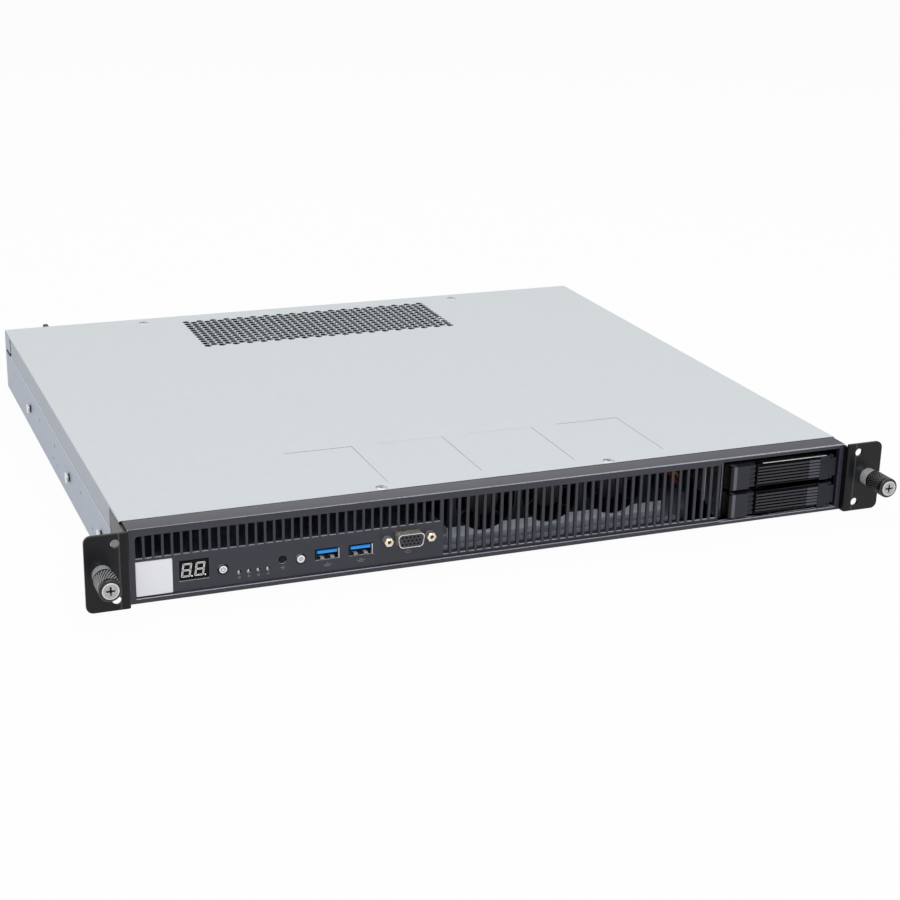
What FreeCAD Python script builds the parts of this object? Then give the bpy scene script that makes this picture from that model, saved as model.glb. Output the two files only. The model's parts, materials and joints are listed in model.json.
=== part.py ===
"""Rack server, one unit high, as an assembly of separate pieces.

Millimetres. X runs to the right along the front, Y to the rear, Z up. The origin is the centre of
the four-hole pattern in the rack ears, on the ears' rear face, which meets the rack posts.
"""
import FreeCAD, Part
import math
import os

V = FreeCAD.Vector

# --- rack ears and overall size ---
RACK_WIDTH = 482.6
EAR_WIDTH = 22.1
EAR_HEIGHT = 43.0
EAR_SHEET = 2.0
EAR_ARM_SHEET = 1.5
EAR_ARM_END = 40.0
EAR_CORNER = 4.0
EAR_HOLE_EDGE = 16.2
EAR_HOLE_PITCH = 31.75
EAR_HOLE_D = 4.7
THUMBSCREW_EDGE = 8.75

BODY_HEIGHT = 42.2
CHASSIS_REAR = 404.8
SHEET = 1.0
GAP = 0.3
LID_GAP = 0.2
RUN_FIT = 0.05

BODY_WIDTH = RACK_WIDTH - 2 * EAR_WIDTH
HALF_BODY = BODY_WIDTH / 2
BOTTOM = -EAR_HEIGHT / 2
TOP = BOTTOM + BODY_HEIGHT
FLOOR = BOTTOM + SHEET
CEILING = TOP - SHEET
INSIDE_TOP = CEILING - LID_GAP

# --- base pan and cover ---
SEAM_HEIGHT = 28.8
SEAM_GAP = 0.5
SEAM_Z = BOTTOM + SEAM_HEIGHT
JOG = 1.5
INNER_WALL = HALF_BODY - SHEET - JOG
BAND_FRONT = EAR_ARM_END + 0.5
TAB_LENGTH = 20.0
TAB_SLOT = 6.0
TAB_FOOT_GAP = 1.4
PAN_CORNER = 4.0
BEND = 1.0
LIP_HEIGHT = 4.0
REAR_FLANGE = 16.8
FRONT_FLANGE = 12.0
FRAME_POST = 6.0
FRAME_BEAM = 6.5
SIDE_HOLE_D = 2.4
SIDE_HOLES = ((92.3, 9.2), (126.6, 18.6), (204.5, 8.6), (211.5, 19.1), (218.0, 8.4), (266.1, 18.6))
SIDE_SLOT = (369.8, 18.6)
SIDE_SLOT_SIZE = (1.6, 5.0)

PATTERN_X = -1.9
VENT_LENGTH = 184.0
VENT_WIDTH = 65.5
VENT_CENTRE_Y = CHASSIS_REAR - 50.3
VENT_PITCH = 11.6
VENT_HEX_D = 9.6
FIELD_X = (-86.1, -28.9, 29.4, 87.7)
FIELD_WIDTH = 41.4
FIELD_Y = (28.5, 91.0)
FIELD_DEPTH = 0.3
COVER_SCREW_REAR = (HALF_BODY - 99.2, CHASSIS_REAR - 11.0)
COVER_SCREW_FRONT = (HALF_BODY - 149.2, 20.6)
COVER_SCREW_D = 3.0
COVER_SCREW_HEAD_D = 6.6
COVER_SCREW_LENGTH = 3.2
COVER_SCREW_CROWN = 0.2

RAIL_STUD_Y = (66.8, 163.1, 302.4)
RAIL_STUD_Z = BOTTOM + 15.3
RAIL_STUD_NECK_D = 5.0
RAIL_STUD_HEAD_D = 7.0
RAIL_STUD_RIVET_D = 3.0
RAIL_STUD_NECK = 1.2
RAIL_STUD_HEAD = 1.0

# --- bezel ---
BEZEL_WIDTH = BODY_WIDTH - 2 * EAR_ARM_SHEET
BEZEL_LEFT = -BEZEL_WIDTH / 2
BEZEL_RIGHT = BEZEL_WIDTH / 2
BEZEL_FRONT = 2.8
BEZEL_REAR = 16.0
BEZEL_WALL = 1.8
RECESS = 2.0
PANEL = 2.0
RIM_SIDE = 3.7
RIM_TOP = 4.0
RIM_BOTTOM = 2.6
RIM_CORNER = 3.0
COVER_FRONT = BEZEL_REAR + 0.6
PANEL_FRONT = BEZEL_FRONT + RECESS
PANEL_REAR = PANEL_FRONT + PANEL

BAY_EDGE = 3.1
BAY_WIDTH = 80.1
BAY_X = (BEZEL_RIGHT - BAY_EDGE - BAY_WIDTH, BEZEL_RIGHT - BAY_EDGE)
BAY_Z = (BOTTOM + 2.0, TOP - 2.7)

SLOT_TOP = TOP - 5.2
SHORT_SLOT_START = BEZEL_LEFT + 4.4
SHORT_SLOT_PITCH = 5.06
SHORT_SLOT_WIDTH = 3.5
SHORT_SLOT_BOTTOM = BOTTOM + 24.5
LONG_SLOT_START = BEZEL_LEFT + 177.1
LONG_SLOT_PITCH = 5.15
LONG_SLOT_WIDTH = 3.3
LONG_SLOT_BOTTOM = BOTTOM + 4.3
SHORT_SLOTS = int((LONG_SLOT_START - SHORT_SLOT_START) / SHORT_SLOT_PITCH)
LONG_SLOTS = int((BAY_X[0] - LONG_SLOT_START - LONG_SLOT_WIDTH) / LONG_SLOT_PITCH) + 1

PLATE_WIDTH = 19.6
PLATE_HEIGHT = 19.4
PLATE_THICK = 0.9
PLATE_GAP = 0.2
PLATE_CORNER = 0.5
PLATE_X = BEZEL_LEFT + RIM_SIDE + PLATE_GAP + PLATE_WIDTH / 2
PLATE_Z = BOTTOM + RIM_BOTTOM + PLATE_GAP + PLATE_HEIGHT / 2 + 0.7

# --- front controls ---
BOARD = 1.6
CONTROL_BOARD_Z = FLOOR + 7.6
CONTROL_BOARD_X = (BEZEL_LEFT + 25.7, BEZEL_LEFT + 172.7)
CONTROL_BOARD_Y = (8.0, 32.0)
PILLAR_D = 5.5
PILLAR_INSET = 6.0
DISPLAY_X = BEZEL_LEFT + 35.35
DISPLAY_Z = BOTTOM + 14.55
DISPLAY_WIDTH = 15.3
DISPLAY_HEIGHT = 10.9
DISPLAY_SINK = 0.2
DISPLAY_REAR = 14.0
DISPLAY_FOOT = 1.4
PRESS_TRAVEL = 1.0
BUTTONS = {
    "power_button": (BEZEL_LEFT + 50.9, BOTTOM + 12.7, 5.3, PANEL_FRONT - 0.7),
    "reset_button": (BEZEL_LEFT + 84.0, BOTTOM + 13.6, 3.6, PANEL_FRONT - 0.2),
    "id_button": (BEZEL_LEFT + 94.1, BOTTOM + 12.9, 5.2, PANEL_FRONT - 0.7),
}
BUTTON_GAP = 0.35
BUTTON_FLANGE = 1.1
BUTTON_FLANGE_SHEET = 0.8
BUTTON_STEM_D = 2.4
SWITCH_FRONT = 12.2
SWITCH_WIDTH = 6.0
SWITCH_DEPTH = 4.5
LED_START = BEZEL_LEFT + 59.8
LED_PITCH = 5.33
LEDS = 4
LED_Z = BOTTOM + 9.7
LED_D = 2.0
LED_GAP = 0.15
LED_LAMP = (2.6, 3.5, 2.4)
USB_X = (BEZEL_LEFT + 109.35, BEZEL_LEFT + 128.6)
USB_Z = BOTTOM + 13.65
USB_WIDTH = 13.3
USB_HEIGHT = 5.7
USB_SHEET = 0.35
USB_LENGTH = 14.0
USB_PROUD = 0.5
USB_LEG = (4.0, 10.0)
USB_ROOT = 3.0
USB_TONGUE = 1.8
USB_TONGUE_SINK = 1.0
USB_STACK_GAP = 1.0
VGA_X = BEZEL_LEFT + 155.95
VGA_Z = BOTTOM + 17.4
VGA_WIDTH = 16.3
VGA_HEIGHT = 7.9
VGA_SHELL = 6.0
VGA_SHEET = 0.4
VGA_FLANGE = 0.8
VGA_BODY = 9.0
VGA_LEAN = 1.47
VGA_CORNER = 2.2
VGA_PLATE_EDGE = 1.5
VGA_BODY_RISE = 1.0
JACK_SPACING = 24.99
JACK_HEX = 5.0
JACK_LENGTH = 5.0
JACK_THREAD_D = 2.8
JACK_THREAD_END = 1.2
PORT_GAP = 0.3

# --- drive bay ---
TRAY_SIDE_GAP = 0.4
TRAY_WIDTH = 74.0
TRAY_X = (BAY_X[1] - TRAY_SIDE_GAP - TRAY_WIDTH, BAY_X[1] - TRAY_SIDE_GAP)
TRAY_PITCH = (BAY_Z[1] - BAY_Z[0] - 2.5) / 2
TRAY_HEIGHT = TRAY_PITCH - 2.5
TRAY_BOTTOMS = {"lower": BAY_Z[0] + 1.1, "upper": BAY_Z[0] + 1.1 + TRAY_PITCH}
TRAY_FACE = BEZEL_FRONT + 0.5
TRAY_PLATE = (9.0, 11.0)
TRAY_REAR = 119.0
TRAY_SHEET = 1.0
TRAY_RAIL_HEIGHT = 11.0
TRAY_FLOOR_BACKSET = 12.0
TRAY_WINDOW_SIDE = 14.0
TRAY_WINDOW_ENDS = (20.0, 18.0)
TRAY_FACE_WINDOW = (3.0, 6.0, 2.0)
CAGE_X = (TRAY_X[0] - TRAY_SIDE_GAP, TRAY_X[1] + TRAY_SIDE_GAP)
CAGE_FRONT = 10.8
CAGE_REAR = 124.0
CAGE_TOP = TRAY_BOTTOMS["upper"] + TRAY_HEIGHT + 0.7
CAGE_BACKSET = BEZEL_REAR + 4.0
CAGE_FOOT = (6.0, 12.0)
RUNNER = 3.2
FRAME_RIGHT = CAGE_X[0] - 8.0
DRIVE_WIDTH = 69.85
DRIVE_LENGTH = 100.0
DRIVE_HEIGHT = 9.5
DRIVE_FRONT = 16.3
DRIVE_RIM = 3.0
DRIVE_STEP = 0.6
DRIVE_PLUG = (34.0, 6.0)
LATCH_WIDTH = 13.0
LATCH_GRIP = 4.6
LATCH_TRAVEL = 3.0
LATCH_BACK = 8.7
LATCH_RIBS = 5
LATCH_RIB_PROUD = 0.7
LATCH_RIB_SHARE = 0.28
LATCH_NECK = (4.0, 5.4)
LATCH_HEAD = (5.2, 8.0)
LEVER_LEFT = TRAY_X[0] + 18.5
LEVER_RIGHT = TRAY_X[1] - 1.2
LEVER_SKIN = 2.0
LEVER_EDGE = 1.4
RECESS_EDGE = 0.2
LEVER_PIN_X = TRAY_X[1] - 3.7
LEVER_PIN_Y = 5.2
LEVER_PIN_D = 1.6
LEVER_BARREL_D = 3.4
LEVER_KNUCKLE = 1.5
LEVER_RIBS = 7
LEVER_RIB = 0.9
LEVER_RIB_END = 7.0
LEVER_FLANGE = 1.0
LEVER_EAR_CLEAR = 0.5

# --- fans ---
FAN_SIZE = INSIDE_TOP - FLOOR
FAN_DEPTH = 28.0
FAN_BORE = FAN_SIZE - 2.0
FAN_INTAKE_D = FAN_SIZE - 3.4
FAN_PITCH = FAN_SIZE + 1.6
FAN_CENTRE = BAY_X[0] - 95.9
FAN_X = (FAN_CENTRE - FAN_PITCH, FAN_CENTRE, FAN_CENTRE + FAN_PITCH)
FAN_Z = FLOOR + FAN_SIZE / 2
FAN_WALL_FRONT = 34.5
FAN_FRONT = FAN_WALL_FRONT + SHEET
FAN_REAR = FAN_FRONT + FAN_DEPTH
FAN_SIDE_GAP = 2.5
FRAME_LIP = 4.0
FRAME_SKIN = 0.9
FRAME_CORNER = 3.0
STRUT_DEPTH = 5.0
STRUT_WIDTH = 1.8
STRUT_BITE = 0.5
STRUT_SINK = 1.0
BRACKET_FOOT = 7.0
BRACKET_TAB = (9.0, 14.0)
HUB_D = 21.0
HUB_DOME = 1.2
BLADES = 7
BLADE_TIP_GAP = 1.8
BLADE_THICK = 1.2
BLADE_TWIST = (34.0, 56.0)
BLADE_SPREAD = 0.55
AXLE_D = 3.0
AXLE_LENGTH = 4.5
BEARING_FLOOR = 1.5
ROTOR_LIFT = 0.5
ROTOR_SINK = 2.0
ROTOR_DEPTH = FAN_DEPTH - ROTOR_SINK - STRUT_DEPTH - ROTOR_LIFT

# --- power supply ---
PSU_SIDE_GAP = 4.8
PSU_WIDTH = 81.4
PSU_LENGTH = 191.2
PSU_PROUD = 0.4
PSU_X = (-HALF_BODY + PSU_SIDE_GAP, -HALF_BODY + PSU_SIDE_GAP + PSU_WIDTH)
PSU_REAR = CHASSIS_REAR + PSU_PROUD
PSU_FRONT = PSU_REAR - PSU_LENGTH
PSU_TOP = INSIDE_TOP - 1.3
PSU_Z = (FLOOR + PSU_TOP) / 2
PSU_FAN_X = PSU_X[1] - 24.0
PSU_FAN_BORE = PSU_TOP - FLOOR - 2.7
PSU_FAN_DEPTH = 26.0
PSU_FAN_SINK = 2.0
PSU_SEAT = 4.0
PSU_SLOTS = 9
PSU_SLOT_WIDTH = 3.5
PSU_SLOT_DEPTH = 6.0
PSU_SLOT_EDGE = 8.0
GUARD_WIRE = 1.6
GUARD_SHEET = 1.0
GUARD_EDGE = 4.0
GUARD_STEP = 10.0
GUARD_RINGS = 3
INLET_X = PSU_X[0] + 12.4
INLET_WIDTH = 19.5
INLET_HEIGHT = 27.0
INLET_DEPTH = 19.0
INLET_WALL = 1.6
INLET_BACK = 2.0
INLET_BLADE = (4.0, 2.0)
INLET_BLADES = ((-4.0, -7.0), (-4.0, 7.0), (0.0, 0.0))
HANDLE_X = PSU_X[0] + 25.9
HANDLE_WIDTH = 3.0
HANDLE_STRIP = 2.2
HANDLE_REACH = 16.0
HANDLE_EDGE = 1.5
HANDLE_BEND = 5.2

# --- boards and cooling inside ---
MAIN_X = (PSU_X[1] + 8.0, CAGE_X[0] - 20.8)
MAIN_Y = (FAN_REAR + 31.5, CHASSIS_REAR - 5.8)
MAIN_BOTTOM = FLOOR + 5.0
MAIN_TOP = MAIN_BOTTOM + BOARD
SINK_LENGTH = 90.0
SINK_X = (FAN_CENTRE - SINK_LENGTH / 2, FAN_CENTRE + SINK_LENGTH / 2)
SINK_Y = (MAIN_Y[0] + 27.0, MAIN_Y[0] + 27.0 + SINK_LENGTH)
SINK_TOP = INSIDE_TOP - 2.3
SINK_SOCKET = 5.0
SINK_SOCKET_INSET = 18.0
SINK_BASE = 4.0
SINK_FINS = 22
FIN = 0.8
DIMM_PITCH = 10.0
DIMM_SPAN = SINK_X[0] - MAIN_X[0]
DIMM_PAIRS = (MAIN_X[0] + DIMM_SPAN * 0.287, MAIN_X[0] + DIMM_SPAN * 0.675)
DIMM_Y = (MAIN_Y[0] + 35.0, MAIN_Y[0] + 175.0)
DIMM_SOCKET = (6.4, 7.5)
DIMM_TOWER = (4.0, 16.0)
DIMM_SEAT = MAIN_TOP + 2.5
DIMM_LENGTH = 133.35
DIMM_TOP = INSIDE_TOP - 1.9
DIMM_SHEET = 1.4
DIMM_CHIPS = 8
DIMM_CHIP = (1.2, 10.0, 12.0)
DIMM_CHIP_LIFT = 12.0
DUCT_GAP = 1.0
DUCT_PLUG_CLEAR = 4.0
RISER_X = MAIN_X[1] - 27.0
RISER_Y = (CHASSIS_REAR - 142.8, CHASSIS_REAR - 12.8)
RISER_TOP = INSIDE_TOP - 4.5
RISER_SOCKET = (8.0, 7.5)
RISER_SOCKET_INSET = 20.0
RISER_SOCKET_PROUD = 1.0
SLOT_WIDTH = 114.0
SLOT_X = (HALF_BODY - 7.2 - SLOT_WIDTH, HALF_BODY - 7.2)
SLOT_Z = (INSIDE_TOP - 26.5, INSIDE_TOP - 6.0)
SLOT_FRAME = 2.0
SLOT_VENTS = 9
SLOT_VENT = (4.0, 10.5)
SLOT_VENT_EDGE = 5.0

# --- rear sockets ---
REAR_PROUD = 0.6
REAR_USB_X = MAIN_X[0] + 59.0
REAR_VGA_X = MAIN_X[0] + 137.0
REAR_VGA_Z = MAIN_TOP + 7.0
REAR_VENTS = 5
REAR_VENT = (3.5, 7.0)
REAR_VENT_START = PSU_X[1] + 12.0
LAN_X = (MAIN_X[0] + 85.0, MAIN_X[0] + 102.5)
LAN_WIDTH = 16.0
LAN_HEIGHT = 13.5
LAN_DEPTH = 21.0
LAN_MOUTH = (11.8, 7.0, 14.0)
LAN_SILL = 2.0
LAN_CLIP = (6.2, 2.6)

# --- thumbscrews ---
SLEEVE_D = 10.6
SLEEVE_WALL = 1.3
SLEEVE_SHOULDER = 2.0
SPIGOT_D = 9.0
COLLAR_D = 12.0
COLLAR_BORE_D = 11.0
COLLAR_FRONT = -24.5
COLLAR_REAR = -9.0
COLLAR_WEB = 2.5
COLLAR_LIP = 1.7
COLLAR_GROOVE = 0.4
COLLAR_CHAMFER = 0.6
SCREW_HEAD_D = 9.0
SCREW_HEAD = 0.5
SCREW_TRAVEL = 6.3
SCREW_POINT = -0.6
CROSS = (4.8, 1.0, 1.5)
SHANK_D = 5.0
SHANK_FIT = 0.08
RING_D = 7.4
RING_SHEET = 0.8
RING_GROOVE = 0.4
SLEEVE_FRONT = COLLAR_FRONT + COLLAR_WEB + SCREW_TRAVEL + GAP
RING_FRONT = SLEEVE_FRONT + SLEEVE_SHOULDER + GAP

# --- leads to the drive backplane ---
LEAD_D = 1.7
LEAD_BEND_SHARE = 0.45
PLUG_X = (CAGE_X[0] - 9.2, CAGE_X[0] - 1.4)
PLUG_Z = (FLOOR + 4.1, FLOOR + 12.1)
PLUG_FRONT = 114.0
BOARD_PLUG_X = (MAIN_X[1] - 15.5, MAIN_X[1] - 4.5)
BOARD_PLUG_Y = (MAIN_Y[0] - 2.6, MAIN_Y[0] + 9.0)
BOARD_PLUG_HEIGHT = 7.0
LEAD_OFFSETS = {"yellow_lead": (2.0, 3.9), "red_lead": (5.5, 2.0), "black_lead": (9.0, 5.8)}
# Corners of each lead: share of the way across, distance forward of the board plug, height above the floor.
LEAD_ROUTES = {
    "yellow_lead": [(0, 0, 11.5), (0, 10.4, 11.5), (0.034, 25.4, 24.5), (0.121, 37.4, 32),
                    (0.397, 47.4, 28), (0.707, 51.4, 19), (0.948, 42.4, 11), (1.003, 24.4, 9.5),
                    (1, 0.4, 10.1)],
    "red_lead": [(0, 0, 11.5), (0, 11.4, 11.5), (0.064, 25.4, 20), (0.212, 38.4, 25.5),
                 (0.487, 48.4, 21), (0.805, 48.4, 12.5), (0.983, 36.4, 7.1), (1, 18.4, 6.7),
                 (1, -1.6, 7.5)],
    "black_lead": [(0, 0, 11.5), (0, 12.4, 11.5), (0.105, 25.4, 15.5), (0.314, 36.4, 17),
                   (0.607, 37.4, 10.5), (0.753, 28.4, 4.5), (0.962, 14.4, 3.9), (1, -3.6, 6.1)],
}


# --- small helpers ---
def block(x0, x1, y0, y1, z0, z1):
    return Part.makeBox(x1 - x0, y1 - y0, z1 - z0, V(x0, y0, z0))


def rod(start, axis, diameter, length):
    return Part.makeCylinder(diameter / 2, length, V(*start), V(*axis))


def rod_y(x, z, diameter, y0, y1):
    return rod((x, y0, z), (0, 1, 0), diameter, y1 - y0)


def rod_z(x, y, diameter, z0, z1):
    return rod((x, y, z0), (0, 0, 1), diameter, z1 - z0)


def fuse(shapes):
    return shapes[0].multiFuse(shapes[1:]).removeSplitter()


def cut(shape, tools):
    return shape.cut(Part.makeCompound(tools))


def both_sides(shape):
    return [shape, shape.mirror(V(0, 0, 0), V(1, 0, 0))]


def prism(points, direction):
    """Straight-sided solid from a closed outline and an extrusion vector."""
    corners = [V(*p) for p in points]
    face = Part.Face(Part.makePolygon(corners + corners[:1]))
    return face.extrude(V(*direction))


def hexagon_z(x, y, z, across, height):
    """Upright hexagonal prism with flats facing along Y."""
    radius = across / math.sqrt(3)
    points = []
    for i in range(6):
        angle = math.radians(60 * i)
        points.append((x + radius * math.cos(angle), y + radius * math.sin(angle), z))
    return prism(points, (0, 0, height))


def rounded_along(shape, direction, radius, test):
    """Round the straight edges that run along one axis and satisfy a test on their middle."""
    chosen = []
    for edge in shape.Edges:
        run = edge.Vertexes[-1].Point - edge.Vertexes[0].Point
        if run.Length > 0 and abs(run.normalize().dot(V(*direction))) > 0.999:
            if test(edge.CenterOfMass):
                chosen.append(edge)
    return shape.makeFillet(radius, chosen)


def turned_y(x, z, profile):
    """Solid of revolution about a line along Y, from (radius, y) corners that start and end on the axis."""
    points = [V(x + radius, y, z) for radius, y in profile]
    face = Part.Face(Part.makePolygon(points + points[:1]))
    return face.revolve(V(x, 0, z), V(0, 1, 0), 360)


# --- base pan, front frame and cover ---
def side_wall():
    """Right-hand wall: a lower band flush with the cover's flange, jogged inwards above the seam."""
    band_top = SEAM_Z - SEAM_GAP / 2
    tab_front = CHASSIS_REAR - TAB_LENGTH
    band = block(HALF_BODY - SHEET, HALF_BODY, BAND_FRONT, CHASSIS_REAR, BOTTOM, band_top)
    corner = prism([(HALF_BODY - SHEET, CHASSIS_REAR - PAN_CORNER, BOTTOM),
                    (HALF_BODY - SHEET, CHASSIS_REAR, BOTTOM),
                    (HALF_BODY - SHEET, CHASSIS_REAR, BOTTOM + PAN_CORNER)], (SHEET, 0, 0))
    foot = block(HALF_BODY - SHEET, HALF_BODY, tab_front, CHASSIS_REAR, band_top - TAB_FOOT_GAP, band_top)
    band = cut(band, [corner, foot])
    ledge = block(INNER_WALL, HALF_BODY - SHEET, BAND_FRONT, tab_front - TAB_SLOT, band_top - SHEET, band_top)
    upper = block(INNER_WALL, INNER_WALL + SHEET, BAND_FRONT, tab_front - TAB_SLOT,
                  band_top - SHEET, INSIDE_TOP)
    front = block(INNER_WALL, INNER_WALL + SHEET, BEZEL_REAR, BAND_FRONT, BOTTOM, INSIDE_TOP)
    tab = block(HALF_BODY - SHEET, HALF_BODY, tab_front, CHASSIS_REAR, band_top + TAB_FOOT_GAP, INSIDE_TOP)
    return [band, ledge, upper, front, tab]


def rear_openings():
    """Cut-outs of the back panel for the supply, the sockets, the slot blank and the vents."""
    y0 = CHASSIS_REAR - SHEET - 1
    y1 = CHASSIS_REAR + 1
    tools = []

    def opening(x0, x1, z0, z1):
        tools.append(block(x0 - PORT_GAP, x1 + PORT_GAP, y0, y1, z0 - PORT_GAP, z1 + PORT_GAP))

    opening(PSU_X[0], PSU_X[1], FLOOR + PORT_GAP, PSU_TOP - PORT_GAP)
    for x in LAN_X:
        opening(x - LAN_WIDTH / 2, x + LAN_WIDTH / 2, MAIN_TOP, MAIN_TOP + LAN_HEIGHT)
    half = USB_WIDTH / 2
    opening(REAR_USB_X - half, REAR_USB_X + half, MAIN_TOP, rear_usb_heights()[1] + USB_HEIGHT / 2)
    opening(REAR_VGA_X - VGA_WIDTH / 2, REAR_VGA_X + VGA_WIDTH / 2,
            REAR_VGA_Z - VGA_HEIGHT / 2, REAR_VGA_Z + VGA_HEIGHT / 2)
    for side in (-1, 1):
        x = REAR_VGA_X + side * JACK_SPACING / 2
        tools.append(rod_y(x, REAR_VGA_Z, JACK_THREAD_D + 2 * PORT_GAP, y0, y1))
    opening(SLOT_X[0] + SLOT_FRAME, SLOT_X[1] - SLOT_FRAME, SLOT_Z[0] + SLOT_FRAME, SLOT_Z[1] - SLOT_FRAME)
    width, pitch = REAR_VENT
    for i in range(REAR_VENTS):
        x = REAR_VENT_START + pitch * i
        tools.append(block(x, x + width, y0, y1, MAIN_TOP + 2 * SHEET, INSIDE_TOP - FRAME_BEAM))
    return tools


def cover_screw_holes(chosen):
    """Clearance holes in a folded flange under the cover's screws."""
    holes = []
    for x, y in chosen:
        holes.append(rod_z(x, y, COVER_SCREW_D + 2 * RUN_FIT, INSIDE_TOP - 2 * SHEET, INSIDE_TOP + 1))
    return holes


def rear_wall():
    """Back panel with its folded top flange."""
    wall = block(-HALF_BODY, HALF_BODY, CHASSIS_REAR - SHEET, CHASSIS_REAR, BOTTOM, INSIDE_TOP)
    flange = block(-INNER_WALL, INNER_WALL, CHASSIS_REAR - REAR_FLANGE, CHASSIS_REAR,
                   INSIDE_TOP - SHEET, INSIDE_TOP)
    holes = cover_screw_holes(cover_screw_places(COVER_SCREW_REAR))
    return cut(fuse([wall, flange]), rear_openings() + holes)


def bend_waste(z, inward):
    """Waste outside a bend along Y; inward is +1 for a bottom edge and -1 for a top one."""
    x = HALF_BODY - BEND
    length = CHASSIS_REAR + 2
    centre = z + inward * BEND
    low, high = sorted((z - inward, centre))
    corner = block(x, HALF_BODY + 1, -1, CHASSIS_REAR + 1, low, high)
    return cut(corner, [rod((x, -1, centre), (0, 1, 0), 2 * BEND, length)])


def side_holes():
    """Punched holes and the slot for rails in the lower band of one side."""
    x0 = INNER_WALL - 1
    length = JOG + SHEET + 2
    holes = [rod((x0, y, RAIL_STUD_Z), (1, 0, 0), RAIL_STUD_RIVET_D, length) for y in RAIL_STUD_Y]
    for y, height in SIDE_HOLES:
        holes.append(rod((x0, y, BOTTOM + height), (1, 0, 0), SIDE_HOLE_D, length))
    y, height = SIDE_SLOT
    half_y, half_z = [size / 2 for size in SIDE_SLOT_SIZE]
    z = BOTTOM + height
    holes.append(block(x0, x0 + length, y - half_y, y + half_y, z - half_z, z + half_z))
    return holes


def base_pan():
    floor = block(-HALF_BODY, HALF_BODY, BAND_FRONT, CHASSIS_REAR, BOTTOM, FLOOR)
    tongue = block(-INNER_WALL - SHEET, INNER_WALL + SHEET, BEZEL_REAR, BAND_FRONT, BOTTOM, FLOOR)
    lip = block(-INNER_WALL, FRAME_RIGHT, BEZEL_REAR, BEZEL_REAR + SHEET, BOTTOM, BOTTOM + LIP_HEIGHT)
    walls = []
    for piece in side_wall():
        walls += both_sides(piece)
    pan = fuse([floor, tongue, lip, rear_wall()] + walls)
    holes = []
    for hole in side_holes():
        holes += both_sides(hole)
    return cut(pan, holes + both_sides(bend_waste(BOTTOM, 1)))


def front_frame():
    """Bent frame behind the bezel that stiffens the front edge and takes the cover's front screws."""
    y0 = BEZEL_REAR + SHEET
    ring = block(-INNER_WALL, FRAME_RIGHT, y0, y0 + SHEET, FLOOR, INSIDE_TOP)
    window = block(-INNER_WALL + FRAME_POST, FRAME_RIGHT - FRAME_POST / 3, y0 - 1, y0 + SHEET + 1,
                   BOTTOM + LIP_HEIGHT + SHEET, INSIDE_TOP - FRAME_BEAM)
    flange = block(-INNER_WALL, INNER_WALL, y0, y0 + FRONT_FLANGE, INSIDE_TOP - SHEET, INSIDE_TOP)
    return cut(fuse([ring, flange]), [window] + cover_screw_holes(cover_screw_places(COVER_SCREW_FRONT)))


def cover_screw_places(pair):
    x, y = pair
    return [(PATTERN_X - x, y), (PATTERN_X + x, y)]


def all_cover_screws():
    return cover_screw_places(COVER_SCREW_REAR) + cover_screw_places(COVER_SCREW_FRONT)


def vent_holes():
    """Honeycomb of hexagonal holes, every second column half a pitch back."""
    column = VENT_PITCH * math.sqrt(3) / 2
    columns = int((VENT_LENGTH - VENT_HEX_D) / column) + 1
    rows = int((VENT_WIDTH - VENT_HEX_D) / VENT_PITCH) + 1
    first_x = PATTERN_X - column * (columns - 1) / 2
    first_y = VENT_CENTRE_Y - VENT_PITCH * (rows - 1) / 2
    holes = []
    for i in range(columns):
        odd = i % 2
        for j in range(rows - odd):
            y = first_y + VENT_PITCH * (j + odd / 2)
            holes.append(hexagon_z(first_x + column * i, y, CEILING - 1, VENT_HEX_D, SHEET + 2))
    return holes


def top_cover():
    """Sheet folded down over both sides, with a vent, four pressed fields and sunk screw seats."""
    tab_front = CHASSIS_REAR - TAB_LENGTH
    plate = block(-HALF_BODY, HALF_BODY, COVER_FRONT, CHASSIS_REAR, CEILING, TOP)
    flange = block(HALF_BODY - SHEET, HALF_BODY, BAND_FRONT, tab_front - TAB_SLOT,
                   SEAM_Z + SEAM_GAP / 2, CEILING)
    cover = fuse([plate] + both_sides(flange))
    tools = vent_holes() + both_sides(bend_waste(TOP, -1))
    for x in FIELD_X:
        tools.append(block(x - FIELD_WIDTH / 2, x + FIELD_WIDTH / 2, FIELD_Y[0], FIELD_Y[1],
                           TOP - FIELD_DEPTH, TOP + 1))
    for x, y in all_cover_screws():
        tools.append(rod_z(x, y, COVER_SCREW_D, CEILING - 1, TOP + 1))
        tools.append(rod_z(x, y, COVER_SCREW_HEAD_D, TOP - SHEET / 2, TOP + 1))
    return cut(cover, tools)


def cover_screws():
    screws = []
    for x, y in all_cover_screws():
        head = rod_z(x, y, COVER_SCREW_HEAD_D, TOP - SHEET / 2, TOP + COVER_SCREW_CROWN)
        shank = rod_z(x, y, COVER_SCREW_D, TOP - COVER_SCREW_LENGTH, TOP - SHEET / 2)
        screws.append(fuse([head, shank]))
    return screws


def rail_studs():
    """Shouldered studs that the sliding rails hook on, riveted through the lower band."""
    studs = []
    for y in RAIL_STUD_Y:
        neck = rod((HALF_BODY, y, RAIL_STUD_Z), (1, 0, 0), RAIL_STUD_NECK_D, RAIL_STUD_NECK)
        head = rod((HALF_BODY + RAIL_STUD_NECK, y, RAIL_STUD_Z), (1, 0, 0), RAIL_STUD_HEAD_D, RAIL_STUD_HEAD)
        rivet = rod((HALF_BODY - SHEET, y, RAIL_STUD_Z), (1, 0, 0), RAIL_STUD_RIVET_D, SHEET)
        studs += both_sides(fuse([rivet, neck, head]))
    return studs


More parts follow.
